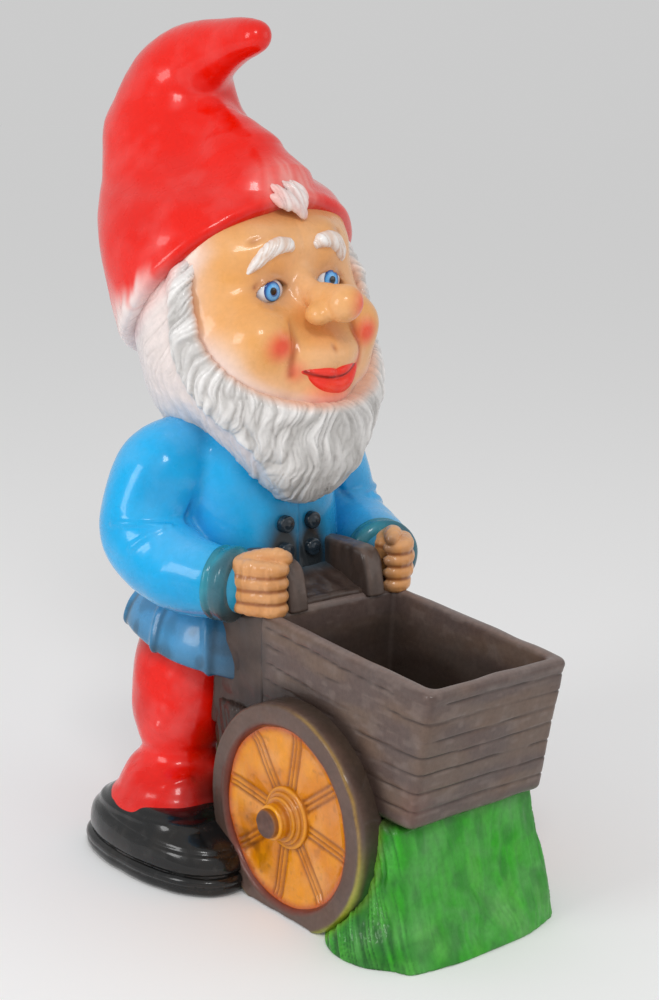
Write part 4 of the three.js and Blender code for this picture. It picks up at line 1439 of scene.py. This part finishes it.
def disc_paint(p, n):
    r, _ = polar(p)
    _, crease = disc_lines(p)
    colour = mix(YELLOW, ORANGE, 0.6 * fade(noise(p, 16), 0.35, 0.75))
    # painted shade in the creases along the spokes and round the foot of the hub
    colour = mix(colour, "8a4a10", crease * 0.8 + 0.45 * (1 - fade(r, 23, 31)))
    colour = mix(colour, "b4380f", 0.75 * fade(r, DISC_R - 7, DISC_R - 0.5))
    # darker in a mottled patch low on the disc, and in scattered specks
    darkening = 0.6 * near(p, (WHEEL_FACE, -12, 40), 46) * fade(noise(p, 7), 0.3, 0.7)
    return mix(colour, "6a3a10", darkening + 0.25 * fade(noise(p, 4), 0.68, 0.85))


def hub_field(p):
    r, out = polar(p)
    body = meet(r - HUB_STEPS[0][0], out + 6.6 - HUB_STEPS[0][1], 2)
    for radius, height in HUB_STEPS[1:]:
        body = join(body, meet(r - radius, out + 6.6 - height, 1.6), 1.2)
    body = join(body, meet(r - 14.0, out - 12.2, 2), 1.0)
    return meet(body, -12 - out, 1)


def hub_paint(p, n):
    r, _ = polar(p)
    colour = mix("f2a416", ORANGE, 0.5 * noise(p, 7))
    # painted shade at the foot of each step of the hub, and on its faces that turn inward
    rings = sum(bell(r - radius - 0.8, 1.3) for radius, _ in HUB_STEPS)
    return mix(colour, OCHRE, rings * 0.7 + 0.4 * fade(-n[:, 0], -0.3, 0.3))


def cap_field(p):
    r, out = polar(p)
    top = AXLE_OUT - WHEEL_FACE - 1.2 + 0.8 * fade(r, 5, 10)
    return meet(meet(r - half("axle_end_left")[1] + 0.2, out - top, 2), 8 - out, 1)


def cap_paint(p, n):
    r, _ = polar(p)
    colour = mix("6d4c40", "523830", noise(p, 4))
    return mix(colour, "b87016", 0.6 * fade(r, 10, 11.8))


AXLE_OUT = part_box("axle_end_left")[1].x * 1000
wheel_low = (WHEEL_FACE - 32, WHEEL[1] - TYRE_R - 6, -4)
wheel_high = (WHEEL_FACE + 8, WHEEL[1] + TYRE_R + 6, WHEEL[2] + TYRE_R + 6)
hub_low = (WHEEL_FACE - 16, WHEEL[1] - 30, WHEEL[2] - 30)
hub_high = (WHEEL_FACE + 20, WHEEL[1] + 30, WHEEL[2] + 30)
tyre_shape = carved(sculpt(tyre_field, wheel_low, wheel_high, 2.5), tyre_relief)
disc_shape = carved(sculpt(disc_field, wheel_low, wheel_high, 2.1), disc_relief)
hub_shape = sculpt(hub_field, hub_low, hub_high, 1.8)
cap_shape = carved(sculpt(cap_field, hub_low, hub_high, 1.5), lambda p, n: uneven(p, 4, 0.7))
paired(
    ("wheel_tyre", tyre_shape, tyre_paint, "cart", "cart_brown", "tyre"),
    ("wheel_plate", disc_shape, disc_paint, "wheel", "wheel_yellow", "wheel_disc"),
    ("wheel_hub", hub_shape, hub_paint, "wheel", "wheel_yellow", "hub"),
    ("axle_cap", cap_shape, cap_paint, "cart", "cart_brown", "axle_end"),
)

# ---------- Grass mound ----------
MOUND_FRONT = (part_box("grass_mound")[0].y - TUB_BACK) * 1000


def mound_field(p):
    x, y, z = np.abs(p[:, 0]), p[:, 1], p[:, 2]
    wobble = uneven(p, (40, 40, 40), 5)
    side = (x - 82 + 0.085 * z) * 0.99 + wobble * 0.4
    swell = 13 * bell(z, 30) * np.clip(1 - (x / 84) ** 2, 0, 1)
    front = (MOUND_FRONT + 3.5 - swell + 0.235 * z - y) * 0.95 + wobble * 0.7
    front_block = meet(meet(side, front, 9), z - 103, 5)
    front_block = meet(front_block, y - 30, 6)
    foot = ball(mirrored(p), (78, -142, 2), (24, 36, 34))
    foot = cut(foot, polar(p)[0] - TYRE_R - 1, 3)
    front_block = join(front_block, foot, 12)
    rear = tower(p, ((0, 0, -20, 77, 54), (30, 0, -14, 77, 52), (60, 0, 2, 77, 62), (100, 0, 4, 77, 69),
                     (145, 0, 4, 76, 68)), 4, 6)
    body = meet(join(front_block, rear, 8), -z, 2)
    well = np.hypot(p[:, 0], y - PLUG[1]) - PLUG_R - 0.6
    return cut(body, np.maximum(well, z - 9), 0.6)


PLUG = spot("base_plug")
PLUG_R = half("base_plug")[0]


def combed(p):
    """Grass strands: they fan out of the wheel's front edge and run down the slope."""
    x, y, z = p.T
    across = y - 0.35 * z + np.abs(x) * 0.8 + uneven(p, 26, 9)
    return strands(across, z + 0.3 * y, 3.6, 34, 2), strands(across, z, 1.9, 18, 4)


def grass_weight(p):
    """1 where the strands are deep, beside the wheel and on the sides; low on the smooth front."""
    return 0.25 + 0.75 * fade(np.abs(p[:, 0]) + 0.25 * p[:, 1], 14, 48)


def mound_relief(p, n):
    coarse, fine = combed(p)
    weight = grass_weight(p) * fade(p[:, 2], 0, 4)
    dabs = uneven(p, (7, 7, 12), 1.6) * (1.2 - weight)
    return ((coarse - 0.7) * 1.8 + (fine - 0.7) * 1.0) * weight + dabs * fade(p[:, 2], 0, 4)


def mound_paint(p, n):
    _, y, z = p.T
    coarse, fine = combed(p)
    weight = grass_weight(p)
    colour = mix(GREEN, GREEN_PALE, 0.45 * fade(noise(p, (16, 16, 30)), 0.5, 0.8))
    # painted shade in the grooves between the grass strands
    colour = mix(colour, "14501c", (1 - coarse * (0.6 + 0.4 * fine)) * weight * 0.95)
    colour = mix(colour, GREEN_DEEP, 0.4 * fade(noise(p, (10, 10, 18)), 0.55, 0.8))
    r, _ = polar(p)
    colour = mix(colour, "7fae2c", (1 - fade(r, TYRE_R - 2, TYRE_R + 9)) * 0.6)
    colour = mix(colour, BROWN_DARK, 0.75 * fade(z, 94, 104) * fade(y, -176, -150))
    # painted shade on the back of the mound, under the cart's rear and the figure
    dark = fade(y, -10, 14) * (0.5 + 0.5 * (1 - fade(z, 60, 110)))
    colour = mix(colour, "0f130d", dark * 0.92)
    return mix(colour, "3a2c27", fade(z, 98, 116) * fade(y, -30, 0))


mound_shape = carved(sculpt(mound_field, (-108, -218, -6), (108, 86, 160), 2.9), mound_relief)
piece("grass_base", mound_shape, mound_paint, "grass", ["grass_mound"])


# ---------- Drain plug under the base ----------
def plug_field(p):
    q = p - PLUG
    x, y, z = q.T
    r = np.hypot(x, y)
    disc = meet(r - PLUG_R + 0.3, np.abs(z) - 2.9, 1.4)
    dish = meet(r - PLUG_R + 4.5, z + 1.6, 0.8)
    tab = block(q, (-8, -1.6, -2.6), (8, 1.6, 0), 0.8)
    return join(cut(disc, dish, 0.8), tab, 0.8)


def plug_paint(p, n):
    return mix(RUBBER, "3a3a3a", noise(p, 5))


plug_shape = sculpt(plug_field, PLUG - (22, 22, 6), PLUG + (22, 22, 6), 1.2)
piece("drain_plug", plug_shape, plug_paint, "rubber", ["base_plug"], body="plug")

# ---------- Floor, light and camera ----------
FLOOR_HALF = 40.0  # metres, so far that its edge fades into the pale background
FLOOR_GLOW = 0.1  # share of the world's light, which lifts the far floor to the background's tone
WORLD_LIGHT = 0.6


def plain(name, colour, roughness, glow):
    material = bpy.data.materials.new(name)
    material.use_nodes = True
    shader = material.node_tree.nodes["Principled BSDF"]
    shader.inputs["Base Color"].default_value = (*colour, 1)
    shader.inputs["Roughness"].default_value = roughness
    shader.inputs["Specular IOR Level"].default_value = 0
    shader.inputs["Emission Color"].default_value = (1, 1, 1, 1)
    shader.inputs["Emission Strength"].default_value = glow
    return material


bpy.ops.mesh.primitive_plane_add(size=2 * FLOOR_HALF)
floor = bpy.context.object
floor.name = "studio_floor"
floor.data.materials.append(plain("pale_floor", (0.9, 0.9, 0.9), 0.8, WORLD_LIGHT * FLOOR_GLOW))

world = bpy.data.worlds.new("studio")
bpy.context.scene.world = world
world.use_nodes = True
world.node_tree.nodes["Background"].inputs["Color"].default_value = (1, 1, 1, 1)
world.node_tree.nodes["Background"].inputs["Strength"].default_value = WORLD_LIGHT


def softbox(name, at, aim, size, power):
    data = bpy.data.lights.new(name, "AREA")
    data.shape = "RECTANGLE"
    data.size, data.size_y = size
    data.energy = power
    light = bpy.data.objects.new(name, data)
    light.location = at
    light.rotation_euler = (Vector(aim) - Vector(at)).to_track_quat("-Z", "Y").to_euler()
    bpy.context.scene.collection.objects.link(light)


softbox("window", (-2.0, 0.1, 1.1), (0, 0, 0.35), (0.6, 1.0), 12)
softbox("key", (-1.1, -1.5, 2.0), (0, 0, 0.4), (0.5, 0.5), 13)
softbox("fill", (1.6, -1.7, 1.2), (0, 0, 0.3), (1.4, 1.4), 5)

CAMERA_AT = Vector((-0.8777, -1.0406, 0.6131))
CAMERA_AIM = Vector((-0.0014, -0.0349, 0.3095))
CAMERA_ROLL = radians(1.7)
lens = bpy.data.cameras.new("camera")
lens.lens = 61.55
lens.sensor_width = 36
camera = bpy.data.objects.new("camera", lens)
facing = (CAMERA_AIM - CAMERA_AT).to_track_quat("-Z", "Y").to_matrix().to_4x4()
camera.matrix_world = Matrix.Translation(CAMERA_AT) @ facing @ Matrix.Rotation(CAMERA_ROLL, 4, "Z")
bpy.context.scene.collection.objects.link(camera)
bpy.context.scene.camera = camera
bpy.context.scene.view_settings.view_transform = "Standard"
